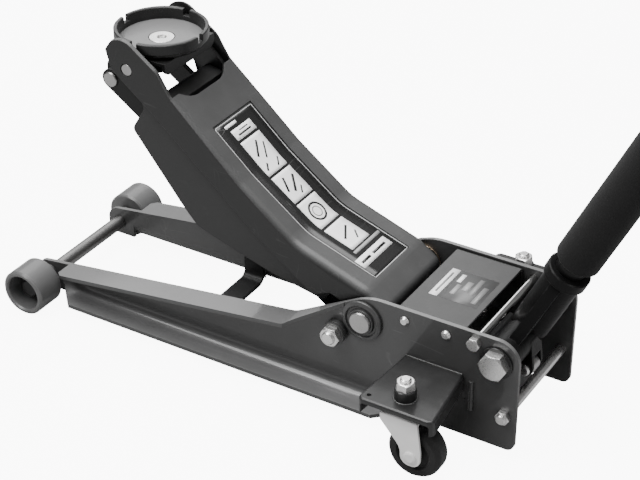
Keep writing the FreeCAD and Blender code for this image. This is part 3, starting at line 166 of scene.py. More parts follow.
def newGroup(name, inputs, outputs):
    # A shader group whose inputs are all numbers.
    group = bpy.data.node_groups.new(name, "ShaderNodeTree")
    for label, value in inputs.items():
        socket = group.interface.new_socket(label, in_out="INPUT", socket_type="NodeSocketFloat")
        socket.default_value = value
    for label, kind in outputs.items():
        group.interface.new_socket(label, in_out="OUTPUT", socket_type="NodeSocket" + kind)
    return group, group.nodes.new("NodeGroupInput").outputs, group.nodes.new("NodeGroupOutput").inputs


def endMask(group, inner, outer, mask):
    # Puts a mask out, scaled by the group's amount.
    feed(group, outer["Mask"], mathNode(group, "MULTIPLY", mask, inner["Amount"], clamp=True))


wearValues = {"flat": 0.995, "sharp": 0.86, "patches": (0.46, 0.66), "patchDetail": 4.0}


def makeEdgeWearGroup(values):
    # Rounded-edge normal, and a broken-up mask along outer edges.
    inputs = {"Radius": 0.0012, "Amount": 0.5, "Breakup": 160.0}
    group, inner, outer = newGroup("edgeWear", inputs, {"Mask": "Float", "Normal": "Vector"})
    rounded = addNode(group, "ShaderNodeBevel", {"Radius": inner["Radius"]}, samples=4).outputs[0]
    both = {0: rounded, 1: surfaceNormal(group)}
    level = addNode(group, "ShaderNodeVectorMath", both, operation="DOT_PRODUCT")
    bend = rangeNode(group, level.outputs["Value"], values["flat"], values["sharp"])
    noise = noiseNode(group, objectPlace(group), inner["Breakup"], values["patchDetail"])
    patches = rangeNode(group, noise, *values["patches"])
    endMask(group, inner, outer, mathNode(group, "MULTIPLY", bend, patches))
    feed(group, outer["Normal"], rounded)
    return group


dustValues = {"upward": (0.2, 1.0), "everywhere": 0.12, "patches": (0.35, 0.75), "speckScale": 900.0,
              "specks": (0.3, 0.7, 0.5, 1.0)}


def makeDustGroup(values):
    # Settled dust: more on faces that look up, in soft patches.
    group, inner, outer = newGroup("dust", {"Amount": 0.3, "Scale": 35.0}, {"Mask": "Float"})
    place = objectPlace(group)
    up = rangeNode(group, axisOf(group, surfaceNormal(group), "Z"), *values["upward"])
    soft = rangeNode(group, noiseNode(group, place, inner["Scale"], 6.0, 0.6), *values["patches"])
    specks = rangeNode(group, noiseNode(group, place, values["speckScale"], 2.0), *values["specks"])
    grainy = mathNode(group, "MULTIPLY", soft, specks)
    reach = mathNode(group, "ADD", up, values["everywhere"])
    endMask(group, inner, outer, mathNode(group, "MULTIPLY", grainy, reach))
    return group


scratchRuns = (
    {"turn": (0.3, 0.8, 0.2), "stretch": (1.0, 0.07, 0.4), "shift": (0, 0, 0), "patchScale": 22.0},
    {"turn": (1.1, -0.5, 0.9), "stretch": (0.09, 1.0, 0.5), "shift": (1.7, 0.9, 0), "patchScale": 31.0},
)
scratchPatches = (0.55, 0.62)


def makeScratchGroup(runs):
    # Fine stray scratches: thin lines where stretched noise crosses its middle.
    inputs = {"Scale": 60.0, "Width": 0.006, "Amount": 0.3}
    group, inner, outer = newGroup("scratches", inputs, {"Mask": "Float"})
    place = objectPlace(group)
    lines = []
    for run in runs:
        stretched = addNode(group, "ShaderNodeMapping", {
            "Vector": place, "Rotation": run["turn"], "Scale": run["stretch"],
            "Location": run["shift"]}).outputs[0]
        value = noiseNode(group, stretched, inner["Scale"], 1.0, 0.3)
        away = mathNode(group, "ABSOLUTE", mathNode(group, "SUBTRACT", value, 0.5))
        line = rangeNode(group, away, inner["Width"], 0.0)
        where = rangeNode(group, noiseNode(group, place, run["patchScale"], 2.0), *scratchPatches)
        lines.append(mathNode(group, "MULTIPLY", line, where))
    endMask(group, inner, outer, mathNode(group, "MAXIMUM", *lines))
    return group


def makeGrainGroup(broadScale):
    # Height for orange peel, cast skin or moulded grain, and broad soft clouds.
    outputs = {"Height": "Float", "Broad": "Float"}
    group, inner, outer = newGroup("grain", {"Scale": 400.0, "Detail": 2.0}, outputs)
    place = objectPlace(group)
    feed(group, outer["Height"], noiseNode(group, place, inner["Scale"], inner["Detail"]))
    feed(group, outer["Broad"], noiseNode(group, place, broadScale, 4.0))
    return group


def makePaintedShadeGroup(openTo, closedTo):
    # Painted shade: darkens corners and the stretch under lips, where less light reaches, found by ambient
    # occlusion.
    group, inner, outer = newGroup("paintedShade", {"Reach": 0.01, "Amount": 0.5}, {"Mask": "Float"})
    hidden = addNode(group, "ShaderNodeAmbientOcclusion", {"Distance": inner["Reach"]}, samples=6)
    endMask(group, inner, outer, rangeNode(group, hidden.outputs["AO"], openTo, closedTo))
    return group


shaderGroups = {
    "edge": makeEdgeWearGroup(wearValues), "dust": makeDustGroup(dustValues),
    "scratch": makeScratchGroup(scratchRuns), "grain": makeGrainGroup(14.0),
    "paintedShade": makePaintedShadeGroup(0.95, 0.45),
}


# Finishes

def placeGroup(tree, key, **values):
    return addNode(tree, "ShaderNodeGroup", values, node_tree=shaderGroups[key]).outputs


def wornEdges(tree, look):
    return placeGroup(tree, "edge", Radius=look["edgeRadius"], Amount=look["edgeWear"],
                      Breakup=look["breakup"])


def newMaterial(name):
    material = bpy.data.materials.new(name)
    material.use_nodes = True
    return material, material.node_tree


def dress(tree, sockets):
    # Feeds the main shader's sockets by name.
    shader = tree.nodes["Principled BSDF"]
    for label, value in sockets.items():
        feed(tree, shader.inputs[label], value)


def grey(value, warmth=0.0):
    return (value * (1 + warmth), value, value * (1 - warmth), 1.0)


def clouded(tree, broad, look, warmth=0.0, lightest=1.0):
    # Soft patches between two shares of the tone.
    dark, light = (grey(min(look["tone"] * share, lightest), warmth) for share in look["clouds"])
    return mixColor(tree, rangeNode(tree, broad, 0.3, 0.7), dark, light)


def roughened(tree, height, roughness, less, more):
    return rangeNode(tree, height, 0.3, 0.7, roughness - less, roughness + more)


def floorMask(tree, height, fade=0.002):
    # Faces that look up and lie lower than the given height.
    low = rangeNode(tree, axisOf(tree, objectPlace(tree), "Z"), height, height - fade)
    level = rangeNode(tree, axisOf(tree, surfaceNormal(tree), "Z"), 0.85, 0.98)
    return mathNode(tree, "MULTIPLY", low, level)


def washerMask(tree, reach, fade=0.0002):
    # The stretch nearer to the middle plane than reach, where washers lie under the heads.
    away = mathNode(tree, "ABSOLUTE", axisOf(tree, objectPlace(tree), "Y"))
    return rangeNode(tree, away, reach + fade, reach - fade)


paintLook = {
    # upward is the range of facing up over which tops take their painted top light.
    "tone": 0.04, "clouds": (0.86, 1.12), "upward": (0.35, 0.85),
    "gloss": 0.5, "roughness": 0.4, "coat": 0.3, "coatRoughness": 0.16,
    "peel": 0.10, "peelScale": 420.0, "peelDepth": 0.0006,
    "edgeRadius": 0.0011, "edgeWear": 0.10, "breakup": 130.0, "wornTone": 0.32, "wornMetal": 0.8,
    "dust": 0.16, "dustScale": 30.0, "dustTone": 0.17, "dustRoughness": 0.5,
    "scratchScale": 55.0, "scratchWidth": 0.006, "scratches": 0.16, "scratchShare": 2.2,
    # The painted shade in corners and under lips: its amount, reach and tone.
    "paintedShade": 0.6, "paintedShadeReach": 0.008, "paintedShadeTone": 0.002,
}


def makePaint(name, look):
    # Glossy powder coat over steel: orange peel, faint clouding, dust, and bare metal on the edges.
    # The tone of faces that look up is painted light on lit tops, and painted shade where it is set darker than
    # the tone. A low floor that looks up can take a lighter tone: painted light, standing for the reflection of
    # the light above.
    material, tree = newMaterial(name)
    paintedTopLightTone = look.get("paintedTopLightTone", look["tone"])
    edge = wornEdges(tree, look)
    dust = placeGroup(tree, "dust", Amount=look["dust"], Scale=look["dustScale"])
    scratch = placeGroup(tree, "scratch", Scale=look["scratchScale"], Width=look["scratchWidth"],
                         Amount=look["scratches"])
    grain = placeGroup(tree, "grain", Scale=look["peelScale"], Detail=1.5)
    # Painted shade in corners and under lips, from ambient occlusion.
    paintedShade = placeGroup(tree, "paintedShade", Reach=look["paintedShadeReach"], Amount=look["paintedShade"])
    # Painted light on tops: faces that look up are mixed towards their own tone.
    upward = rangeNode(tree, axisOf(tree, surfaceNormal(tree), "Z"), *look["upward"])
    color = mixColor(tree, upward, clouded(tree, grain["Broad"], look), grey(paintedTopLightTone))
    color = mixColor(tree, scratch["Mask"], color, grey(paintedTopLightTone * look["scratchShare"]))
    color = mixColor(tree, dust["Mask"], color, grey(look["dustTone"]))
    # Mixes in the painted shade, darker in corners and under lips.
    color = mixColor(tree, paintedShade["Mask"], color, grey(look["paintedShadeTone"]))
    color = mixColor(tree, edge["Mask"], color, grey(look["wornTone"]))
    # Painted light: a low floor that looks up takes a lighter tone, standing for the reflection of the light
    # above.
    if "paintedFloorLightBelow" in look:
        color = mixColor(tree, floorMask(tree, look["paintedFloorLightBelow"]), color, grey(look["paintedFloorLightTone"]))
    rough = rangeNode(tree, grain["Broad"], 0.25, 0.75, look["roughness"] - 0.05, look["roughness"] + 0.06)
    dustRough = mathNode(tree, "MULTIPLY", dust["Mask"], look["dustRoughness"])
    dress(tree, {
        "Base Color": color, "Metallic": mathNode(tree, "MULTIPLY", edge["Mask"], look["wornMetal"]),
        "Roughness": mathNode(tree, "ADD", rough, dustRough, clamp=True),
        "Coat Weight": look["coat"], "Coat Roughness": look["coatRoughness"], "IOR": 1.5,
        "Specular IOR Level": look["gloss"],
        "Normal": bumpNode(tree, grain["Height"], look["peel"], look["peelDepth"], edge["Normal"]),
    })
    return material


metalLook = {
    "metallic": 1.0, "tone": 0.78, "clouds": (0.85, 1.1), "warmth": 0.01, "roughness": 0.3,
    "scratches": 0.2, "scratchScale": 120.0, "scratchWidth": 0.012, "scratchShare": 0.55,
    "grain": 0.10, "grainScale": 900.0, "grainDepth": 0.0003,
    "edgeRadius": 0.0006, "edgeWear": 0.5, "breakup": 300.0, "edgeShare": 1.35, "edgeLightest": 0.95,
    "darkWithin": 0.0, "darkTone": 0.006,
}


def makeMetal(name, look):
    # Plated, turned or ground steel: grain or crystals, tarnish in patches, brighter edges.
    # darkWithin, where it isn't zero, is how far from the middle plane black washers reach.
    material, tree = newMaterial(name)
    edge = wornEdges(tree, look)
    scratch = placeGroup(tree, "scratch", Scale=look["scratchScale"], Width=look["scratchWidth"],
                         Amount=look["scratches"])
    grain = placeGroup(tree, "grain", Scale=look["grainScale"], Detail=3.0)
    edgeTone = min(look["tone"] * look["edgeShare"], look["edgeLightest"])
    color = clouded(tree, grain["Broad"], look, look["warmth"])
    color = mixColor(tree, scratch["Mask"], color, grey(look["tone"] * look["scratchShare"]))
    color = mixColor(tree, edge["Mask"], color, grey(edgeTone))
    metallic = look["metallic"]
    if look["darkWithin"]:
        inside = washerMask(tree, look["darkWithin"])
        color = mixColor(tree, inside, color, grey(look["darkTone"]))
        metallic = mathNode(tree, "SUBTRACT", metallic, inside, clamp=True)
    dress(tree, {
        "Base Color": color, "Metallic": metallic,
        "Roughness": roughened(tree, grain["Height"], look["roughness"], 0.06, 0.08),
        "Normal": bumpNode(tree, grain["Height"], look["grain"], look["grainDepth"], edge["Normal"]),
    })
    return material


softLook = {
    "tone": 0.02, "clouds": (0.8, 1.2), "gloss": 0.5, "roughness": 0.6, "sheen": 0.1, "sheenRoughness": 0.5,
    "edgeRadius": 0.001, "edgeWear": 0.4, "breakup": 120.0, "rubbedShare": 2.4,
    "dust": 0.2, "dustScale": 50.0, "dustTone": 0.16,
    "grain": 0.25, "grainScale": 900.0, "grainDepth": 0.0006,
}


def makeSoft(name, look):
    # Moulded nylon, rubber or foam: matt, grainy, lighter where rubbed.
    material, tree = newMaterial(name)
    edge = wornEdges(tree, look)
    dust = placeGroup(tree, "dust", Amount=look["dust"], Scale=look["dustScale"])
    grain = placeGroup(tree, "grain", Scale=look["grainScale"], Detail=4.0)
    color = clouded(tree, grain["Broad"], look)
    color = mixColor(tree, edge["Mask"], color, grey(look["tone"] * look["rubbedShare"]))
    color = mixColor(tree, dust["Mask"], color, grey(look["dustTone"]))
    dress(tree, {
        "Base Color": color, "Roughness": roughened(tree, grain["Height"], look["roughness"], 0.06, 0.06),
        "Sheen Weight": look["sheen"], "Sheen Roughness": look["sheenRoughness"],
        "Specular IOR Level": look["gloss"],
        "Normal": bumpNode(tree, grain["Height"], look["grain"], look["grainDepth"], edge["Normal"]),
    })
    return material


printLook = {
    "tone": 0.5, "clouds": (0.93, 1.05), "lightest": 0.96, "roughness": 0.38,
    "tooth": 0.06, "toothScale": 1500.0, "toothDepth": 0.0002,
    "scuffs": 0.25, "scuffScale": 90.0, "scuffWidth": 0.006, "scuffTone": 0.3,
}


def makePrint(name, look):
    # Printed film: flat ink with a slight tooth and scuffs.
    material, tree = newMaterial(name)
    grain = placeGroup(tree, "grain", Scale=look["toothScale"], Detail=2.0)
    scuffs = placeGroup(tree, "scratch", Scale=look["scuffScale"], Width=look["scuffWidth"],
                        Amount=look["scuffs"])
    ink = clouded(tree, grain["Broad"], look, lightest=look["lightest"])
    dress(tree, {
        "Base Color": mixColor(tree, scuffs["Mask"], ink, grey(look["scuffTone"])),
        "Roughness": roughened(tree, grain["Height"], look["roughness"], 0.05, 0.05),
        "Normal": bumpNode(tree, grain["Height"], look["tooth"], look["toothDepth"]),
    })
    return material


# Each finish is a material's name and what differs from the plain look of its kind.
paints = {
    "gloss_black_paint": ("glossPaint", {}),
    # The side plates' flange tops take a lighter painted top light.
    "side_paint": ("sidePlatePaint", {"tone": 0.034, "paintedTopLightTone": 0.1, "coat": 0.5, "coatRoughness": 0.07,
                                      "dust": 0.2}),
    # The arm's top takes a much lighter painted top light than its sides.
    "arm_paint": ("armPaint", {"tone": 0.012, "paintedTopLightTone": 0.058, "gloss": 0.3, "coat": 0.14, "dust": 0.2,
                               "dustTone": 0.12}),
    # The cheeks take strong, wide painted shade: a painted shadow line under the shell's lip.
    "cheek_paint": ("cheekPaint", {"tone": 0.02, "gloss": 0.3, "coat": 0.12, "dust": 0.06, "paintedShade": 1.0,
                                   "paintedShadeReach": 0.016}),
    "cover_paint": ("coverPaint", {"tone": 0.02, "gloss": 0.4, "coat": 0.24, "dust": 0.1}),
    # The bracket's tops take painted shade, darker than its sides.
    "bracket_paint": ("bracketPaint", {"tone": 0.014, "paintedTopLightTone": 0.008, "gloss": 0.35, "coat": 0.2,
                                       "dust": 0.08}),
    "dark_paint": ("darkPaint", {"tone": 0.008, "gloss": 0.2, "coat": 0.06, "dust": 0.04, "edgeWear": 0.05}),
    "handle_paint": ("handlePaint", {"tone": 0.004, "gloss": 0.16, "coat": 0.12, "dust": 0.02,
                                     "scratches": 0.06}),
    "cast_casing": ("castPaint", {"tone": 0.004, "gloss": 0.1, "coat": 0.06, "roughness": 0.42, "peel": 0.5,
                                  "peelScale": 260.0, "edgeRadius": 0.0018, "dust": 0.03}),
    "block_paint": ("blockPaint", {"tone": 0.02, "coat": 0.2, "roughness": 0.46, "peel": 0.5,
                                   "peelScale": 260.0, "dust": 0.1}),
    "roller_paint": ("rollerPaint", {"tone": 0.085, "roughness": 0.42, "peel": 0.3, "edgeRadius": 0.0016,
                                     "dust": 0.12}),
    # The saddle's floor takes painted light, lighter than its rim.
    "saddle_paint": ("saddlePaint", {"tone": 0.012, "gloss": 0.25, "coat": 0.15, "peel": 0.35,
                                     "edgeRadius": 0.0016, "edgeWear": 0.25, "paintedFloorLightBelow": 0.354,
                                     "paintedFloorLightTone": 0.125}),
    # Welds take a little painted shade in their corners.
    "weld_steel": ("weldPaint", {"tone": 0.022, "roughness": 0.34, "peel": 0.2, "paintedShade": 0.2}),
}
metals = {
    "zinc_plate": ("zincPlate", {}),
    "ground_steel": ("groundSteel", {"tone": 0.42, "roughness": 0.32}),
    "chrome": ("chrome", {"tone": 0.8, "roughness": 0.1, "grain": 0.02}),
    "machined_steel": ("machinedSteel", {"tone": 0.3, "roughness": 0.4, "grain": 0.2}),
    "axle_steel": ("axleSteel", {"tone": 0.2, "roughness": 0.42, "grain": 0.2}),
    "fork_zinc": ("forkZinc", {"metallic": 0.15, "tone": 0.9, "roughness": 0.5}),
    "bolt_zinc": ("boltZinc", {"darkWithin": 0.0768}),
    "bronze": ("bronze", {"tone": 0.45, "warmth": 0.28, "roughness": 0.35}),
}
softs = {
    "black_nylon": ("nylon", {"tone": 0.005, "gloss": 0.3, "dust": 0.05}),
    "foam": ("foam", {"tone": 0.008, "gloss": 0.2, "roughness": 0.8, "grain": 0.6, "grainScale": 700.0,
                      "sheen": 0.04, "dust": 0.02}),
    "grip_rubber": ("gripRubber", {"tone": 0.012, "roughness": 0.7}),
}
prints = {
    "label_black": ("labelBlack", {"tone": 0.012, "roughness": 0.3}),
    "label_white": ("labelWhite", {"tone": 0.93}),
    "label_grey": ("labelGrey", {"tone": 0.3}),
    "label_slate": ("labelSlate", {"tone": 0.09}),
    "label_stone": ("labelStone", {"tone": 0.2}),
    "label_frame": ("labelFrame", {"tone": 0.45}),
}
kinds = ((makePaint, paintLook, paints), (makeMetal, metalLook, metals), (makeSoft, softLook, softs),
         (makePrint, printLook, prints))
finishes = {}
for makeFinish, plainLook, table in kinds:
    for finishName, (materialName, changes) in table.items():
        finishes[finishName] = makeFinish(materialName, {**plainLook, **changes})

slotOf = {row["node"]: row["material_slot"] for row in frame["record"]["subparts"]}
ownFinish = {
    "side_paint": ("side_plate_left", "side_plate_right"),
    "arm_paint": ("arm_top_shell",),
    "cheek_paint": ("arm_side_plates", "arm_cross_plates", "arm_pivot_tube"),
    "cover_paint": ("top_cover",),
    "bracket_paint": ("caster_brackets",),
    "dark_paint": ("cross_brace", "axle_end_caps", "link_bars", "saddle_yoke", "arm_ram_lugs",
                   "oil_reservoir"),
    "handle_paint": ("handle_lower_tube", "handle_upper_tube"),
    "block_paint": ("pump_block",),
    "roller_paint": ("front_roller_left", "front_roller_right"),
    "saddle_paint": ("saddle_cup",),
    "axle_steel": ("front_axle",),
    "fork_zinc": ("caster_fork_left", "caster_fork_right"),
    "bolt_zinc": ("socket_pivot_bolts",),
}
finishOf = {name: finish for finish, names in ownFinish.items() for name in names}
for nodeName, node in nodes.items():
    node.data.materials.clear()
    node.data.materials.append(finishes[finishOf.get(nodeName, slotOf[nodeName])])
print("finishes on all nodes")


# Lift arm label

pivot = Vector(joints["lift"]["pos_m"])
armAlong = (Vector(joints["saddle_level"]["pos_m"]) - pivot).normalized()
armUp = Vector((-armAlong.z, 0, armAlong.x))
labelSizes = {    # places along the arm from its pivot, and across it
    "start": 0.0225, "end": 0.2655, "half": 0.0365, "frameWidth": 0.0011, "panelHalf": 0.0188,
    "panels": ((0.2395, 0.2530), (0.1870, 0.2360), (0.1452, 0.1838), (0.1042, 0.1425), (0.0632, 0.1008)),
    "bars": (("noteBar", (0.2575, 0.2612), (0.001, 0.0225), "label_white"),
             ("titleBar", (0.0385, 0.0520), (-0.029, 0.0330), "label_white"),
             ("greyBar", (0.0570, 0.0610), (-0.033, 0.0215), "label_grey")),
    "ringPanel": 3,
    "rings": (("label_ring", 0.0125, 0.0098, 48), ("label_ring_core", 0.0068, 0.0058, 32)),
    "marks": (    # two ends and a width each
        ((0.2445, -0.012), (0.2445, 0.012), 0.0022), ((0.2490, -0.010), (0.2490, 0.006), 0.0014),
        ((0.2290, -0.004), (0.2120, 0.010), 0.0030), ((0.2230, -0.012), (0.2060, 0.000), 0.0022),
        ((0.2010, 0.006), (0.1930, 0.013), 0.0026), ((0.2000, -0.014), (0.1910, -0.006), 0.0020),
        ((0.1770, 0.004), (0.1600, 0.012), 0.0030), ((0.1740, -0.012), (0.1560, 0.003), 0.0034),
        ((0.1580, -0.010), (0.1500, -0.003), 0.0020),
        ((0.0900, -0.010), (0.0780, 0.010), 0.0026), ((0.0790, -0.012), (0.0700, -0.004), 0.0020),
        ((0.0452, -0.022), (0.0452, 0.004), 0.0032), ((0.0452, 0.010), (0.0452, 0.028), 0.0032),
    ),
    "film": 0.0001, "patchThick": 0.00012, "rowStep": 0.004,
    "panelLift": 2.2, "markLift": 3.6,    # in films
    "lookFrom": 0.08,    # height that the arm is looked down on from
}


def surfaceFinder(name):
    # Rays onto a CAD node, for pieces that lie on it.
    bm = bmesh.new()
    bm.from_mesh(nodes[name].data)
    tree = BVHTree.FromBMesh(bm)
    bm.free()
    return tree


armTop = surfaceFinder("arm_top_shell")


def onArm(along, across, lift):
    # A point on the arm's top, found by looking down on it from above.
    start = pivot + armAlong * along + armUp * labelSizes["lookFrom"] + Vector((0, across, 0))
    hit = armTop.ray_cast(start, -armUp)[0]
    return hit + armUp * lift


def finishSheet(name, bm, upward, finish, body, thick):
    # Turns a flat patch upwards and gives it a thickness.
    bm.normal_update()
    total = sum((face.normal for face in bm.faces), Vector())
    if total.dot(upward) < 0:
        bmesh.ops.reverse_faces(bm, faces=bm.faces)
    for face in bm.faces:
        face.smooth = True
    made = bmesh.ops.extrude_face_region(bm, geom=list(bm.faces))
    moved = [item for item in made["geom"] if isinstance(item, bmesh.types.BMVert)]
    bmesh.ops.translate(bm, verts=moved, vec=upward * thick)
    bmesh.ops.recalc_face_normals(bm, faces=bm.faces)
    mesh = keepMesh(name, bm)
    mesh.materials.append(finishes[finish])
    return addObject(name, mesh, body)


def armPatch(name, along, across, lift, finish, columns=2):
    # A thin printed patch that follows the arm's top between two places along and across it.
    rows = max(2, int(abs(along[1] - along[0]) / labelSizes["rowStep"]))
    bm = bmesh.new()
    grid = []
    for i in range(rows + 1):
        u = along[0] + (along[1] - along[0]) * i / rows
        grid.append([bm.verts.new(onArm(u, across[0] + (across[1] - across[0]) * j / columns, lift))
                     for j in range(columns + 1)])
    for i in range(rows):
        for j in range(columns):
            bm.faces.new((grid[i][j], grid[i + 1][j], grid[i + 1][j + 1], grid[i][j + 1]))
    finishSheet(name, bm, armUp, finish, "arm", labelSizes["patchThick"])


def armRing(name, centre, outer, inner, lift, finish, corners):
    # A printed ring on the arm's top.
    bm = bmesh.new()
    rings = []
    for radius in (outer, inner):
        ring = []
        for k in range(corners):
            turn = 2 * math.pi * k / corners
            place = (centre[0] + radius * math.cos(turn), centre[1] + radius * math.sin(turn))
            ring.append(bm.verts.new(onArm(*place, lift)))
        rings.append(ring)
    for k in range(corners):
        n = (k + 1) % corners
        bm.faces.new((rings[0][k], rings[0][n], rings[1][n], rings[1][k]))
    finishSheet(name, bm, armUp, finish, "arm", labelSizes["film"])


def armStroke(name, first, second, width, lift, finish):
    # A short printed bar between two places on a label panel.
    (u0, y0), (u1, y1) = first, second
    run = Vector((u1 - u0, y1 - y0)).normalized() * width / 2
    side = Vector((-run.y, run.x))
    corners = [(u0 + side.x, y0 + side.y), (u1 + side.x, y1 + side.y),
               (u1 - side.x, y1 - side.y), (u0 - side.x, y0 - side.y)]
    bm = bmesh.new()
    bm.faces.new([bm.verts.new(onArm(u, y, lift)) for u, y in corners])
    finishSheet(name, bm, armUp, finish, "arm", labelSizes["film"])


def makeArmLabel(sizes):
    # Plain generic panels in place of the printed strip: blocks, a ring and bars, with no words.
    start, end, half, rim = sizes["start"], sizes["end"], sizes["half"], sizes["frameWidth"]
    film = sizes["film"]
    panelLift, markLift = film * sizes["panelLift"], film * sizes["markLift"]
    armPatch("label_strip", (start, end), (-half, half), film, "label_black", 6)
    armPatch("label_frame_left", (start, end), (half - rim, half), panelLift, "label_frame")
    armPatch("label_frame_right", (start, end), (-half, -half + rim), panelLift, "label_frame")
    armPatch("label_frame_front", (end - rim, end), (-half, half), panelLift, "label_frame", 6)
    armPatch("label_frame_rear", (start, start + rim), (-half, half), panelLift, "label_frame", 6)
    side = sizes["panelHalf"]
    for index, along in enumerate(sizes["panels"]):
        armPatch("label_panel_%d" % index, along, (-side, side), panelLift, "label_white", 4)
    for name, along, across, finish in sizes["bars"]:
        armPatch("label_" + name, along, across, panelLift, finish, 4)
    low, high = sizes["panels"][sizes["ringPanel"]]
    for name, outer, inner, corners in sizes["rings"]:
        armRing(name, ((low + high) / 2, 0.0), outer, inner, markLift, "label_black", corners)
    for index, (first, second, width) in enumerate(sizes["marks"]):
        armStroke("label_mark_%d" % index, first, second, width, markLift, "label_black")


makeArmLabel(labelSizes)
print("arm label laid")


# Cover plate label

coverSizes = {    # places along X and across
    "strip": ((-0.5085, -0.4985), (-0.028, 0.030)), "stripLine": ((-0.5045, -0.5020), (-0.020, 0.022)),
    "panel": ((-0.556, -0.5115), (-0.028, 0.030)),
    "blocks": (((-0.5190, -0.5140), (-0.022, -0.006), "label_white"),
               ((-0.5230, -0.5175), (-0.002, 0.018), "label_grey"),
               ((-0.5330, -0.5260), (-0.012, 0.006), "label_grey"),
               ((-0.5420, -0.5360), (-0.022, 0.010), "label_stone"),
               ((-0.5520, -0.5460), (-0.010, 0.024), "label_stone")),
    "film": 0.00012,
}


def makeCoverLabel(sizes):
    # A strip with a line, and a panel with blocks of other tones, flat on the cover plate.
    film = sizes["film"]
    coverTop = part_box("top_cover")[1].z

    def patch(name, xs, ys, finish, z):
        bm = bmesh.new()
        corners = ((xs[0], ys[0]), (xs[1], ys[0]), (xs[1], ys[1]), (xs[0], ys[1]))
        bm.faces.new([bm.verts.new((x, y, z)) for x, y in corners])
        finishSheet("cover_label_" + name, bm, alongZ, finish, "frame", film)

    patch("strip", *sizes["strip"], "label_white", coverTop)
    patch("panel", *sizes["panel"], "label_slate", coverTop)
    patch("line", *sizes["stripLine"], "label_stone", coverTop + film)
    for index, (xs, ys, finish) in enumerate(sizes["blocks"]):
        patch("block_%d" % index, xs, ys, finish, coverTop + film)


makeCoverLabel(coverSizes)
print("cover label laid")


# Geometry node trees: wound wire, weld beads and rows of rings

def newTree(name, inputs):
    # A geometry tree with a number for each named input, and a finish.
    tree = bpy.data.node_groups.new(name, "GeometryNodeTree")
    tree.interface.new_socket("Geometry", in_out="INPUT", socket_type="NodeSocketGeometry")
    for label, value in inputs.items():
        kind = "NodeSocketInt" if isinstance(value, int) else "NodeSocketFloat"
        tree.interface.new_socket(label, in_out="INPUT", socket_type=kind).default_value = value
    tree.interface.new_socket("Finish", in_out="INPUT", socket_type="NodeSocketMaterial")
    tree.interface.new_socket("Geometry", in_out="OUTPUT", socket_type="NodeSocketGeometry")
    return tree, tree.nodes.new("NodeGroupInput").outputs


def endTree(tree, geometry, finish):
    # Every tree ends with real geometry and its material.
    real = addNode(tree, "GeometryNodeRealizeInstances", {"Geometry": geometry}).outputs[0]
    painted = addNode(tree, "GeometryNodeSetMaterial", {"Geometry": real, "Material": finish}).outputs[0]
    addNode(tree, "NodeGroupOutput", {"Geometry": painted})
    return tree


def circleCurve(tree, radius, corners):
    inputs = {"Radius": radius, "Resolution": corners}
    return addNode(tree, "GeometryNodeCurvePrimitiveCircle", inputs).outputs["Curve"]


def sweepAlong(tree, path, profile, scale=1.0, closedEnds=False):
    inputs = {"Curve": path, "Profile Curve": profile, "Scale": scale, "Fill Caps": closedEnds}
    return addNode(tree, "GeometryNodeCurveToMesh", inputs).outputs["Mesh"]


def makeCoilTree():
    # A round wire wound along X, with closed ends.
    tree, inner = newTree("woundSpring", {"Turns": 10.0, "Length": 0.05, "Radius": 0.005, "Wire": 0.0007})
    spiral = addNode(tree, "GeometryNodeCurveSpiral", {
        "Resolution": 18, "Rotations": inner["Turns"], "Start Radius": inner["Radius"],
        "End Radius": inner["Radius"], "Height": inner["Length"]}).outputs["Curve"]
    wire = sweepAlong(tree, spiral, circleCurve(tree, inner["Wire"], 8), closedEnds=True)
    turned = addNode(tree, "GeometryNodeTransform", {"Geometry": wire, "Rotation": (0, math.pi / 2, 0)})
    return endTree(tree, turned.outputs["Geometry"], inner["Finish"])


def makeBeadTree():
    # A rippled weld bead, or a small round mark, along the edges it is given.
    tree, inner = newTree("weldBead", {"Radius": 0.0018, "Step": 0.0006, "Ripple": 0.22, "Seed": 3})
    stepsInRipple, lowest, unevenness = 4, 0.82, (0.9, 1.1)
    path = addNode(tree, "GeometryNodeMeshToCurve", {"Mesh": inner["Geometry"]}).outputs["Curve"]
    spacing = {"Curve": path, "Length": inner["Step"]}
    even = addNode(tree, "GeometryNodeResampleCurve", spacing, mode="LENGTH").outputs["Curve"]
    index = addNode(tree, "GeometryNodeInputIndex").outputs[0]
    turn = mathNode(tree, "MULTIPLY", index, math.pi / stepsInRipple)
    wave = mathNode(tree, "ABSOLUTE", mathNode(tree, "SINE", turn))
    swell = mathNode(tree, "ADD", mathNode(tree, "MULTIPLY", wave, inner["Ripple"]), lowest)
    wobble = addNode(tree, "FunctionNodeRandomValue", {"Seed": inner["Seed"]})
    for socket, value in zip([entry for entry in wobble.inputs if entry.enabled], unevenness):
        socket.default_value = value
    uneven = mathNode(tree, "MULTIPLY", swell, [entry for entry in wobble.outputs if entry.enabled][0])
    scale = mathNode(tree, "MULTIPLY", uneven, inner["Radius"])
    bead = sweepAlong(tree, even, circleCurve(tree, 1.0, 10), scale, closedEnds=True)
    return endTree(tree, bead, inner["Finish"])


def makeRingTree():
    # A row of round rings along Z.
    tree, inner = newTree("ringRow", {"Count": 10, "Pitch": 0.009, "Radius": 0.018, "Wire": 0.001})
    ring = sweepAlong(tree, circleCurve(tree, inner["Radius"], 48), circleCurve(tree, inner["Wire"], 8))
    step = addNode(tree, "ShaderNodeCombineXYZ", {"Z": inner["Pitch"]}).outputs[0]
    row = addNode(tree, "GeometryNodeMeshLine", {"Count": inner["Count"], "Offset": step}).outputs["Mesh"]
    spread = addNode(tree, "GeometryNodeInstanceOnPoints", {"Points": row, "Instance": ring})
    return endTree(tree, spread.outputs["Instances"], inner["Finish"])


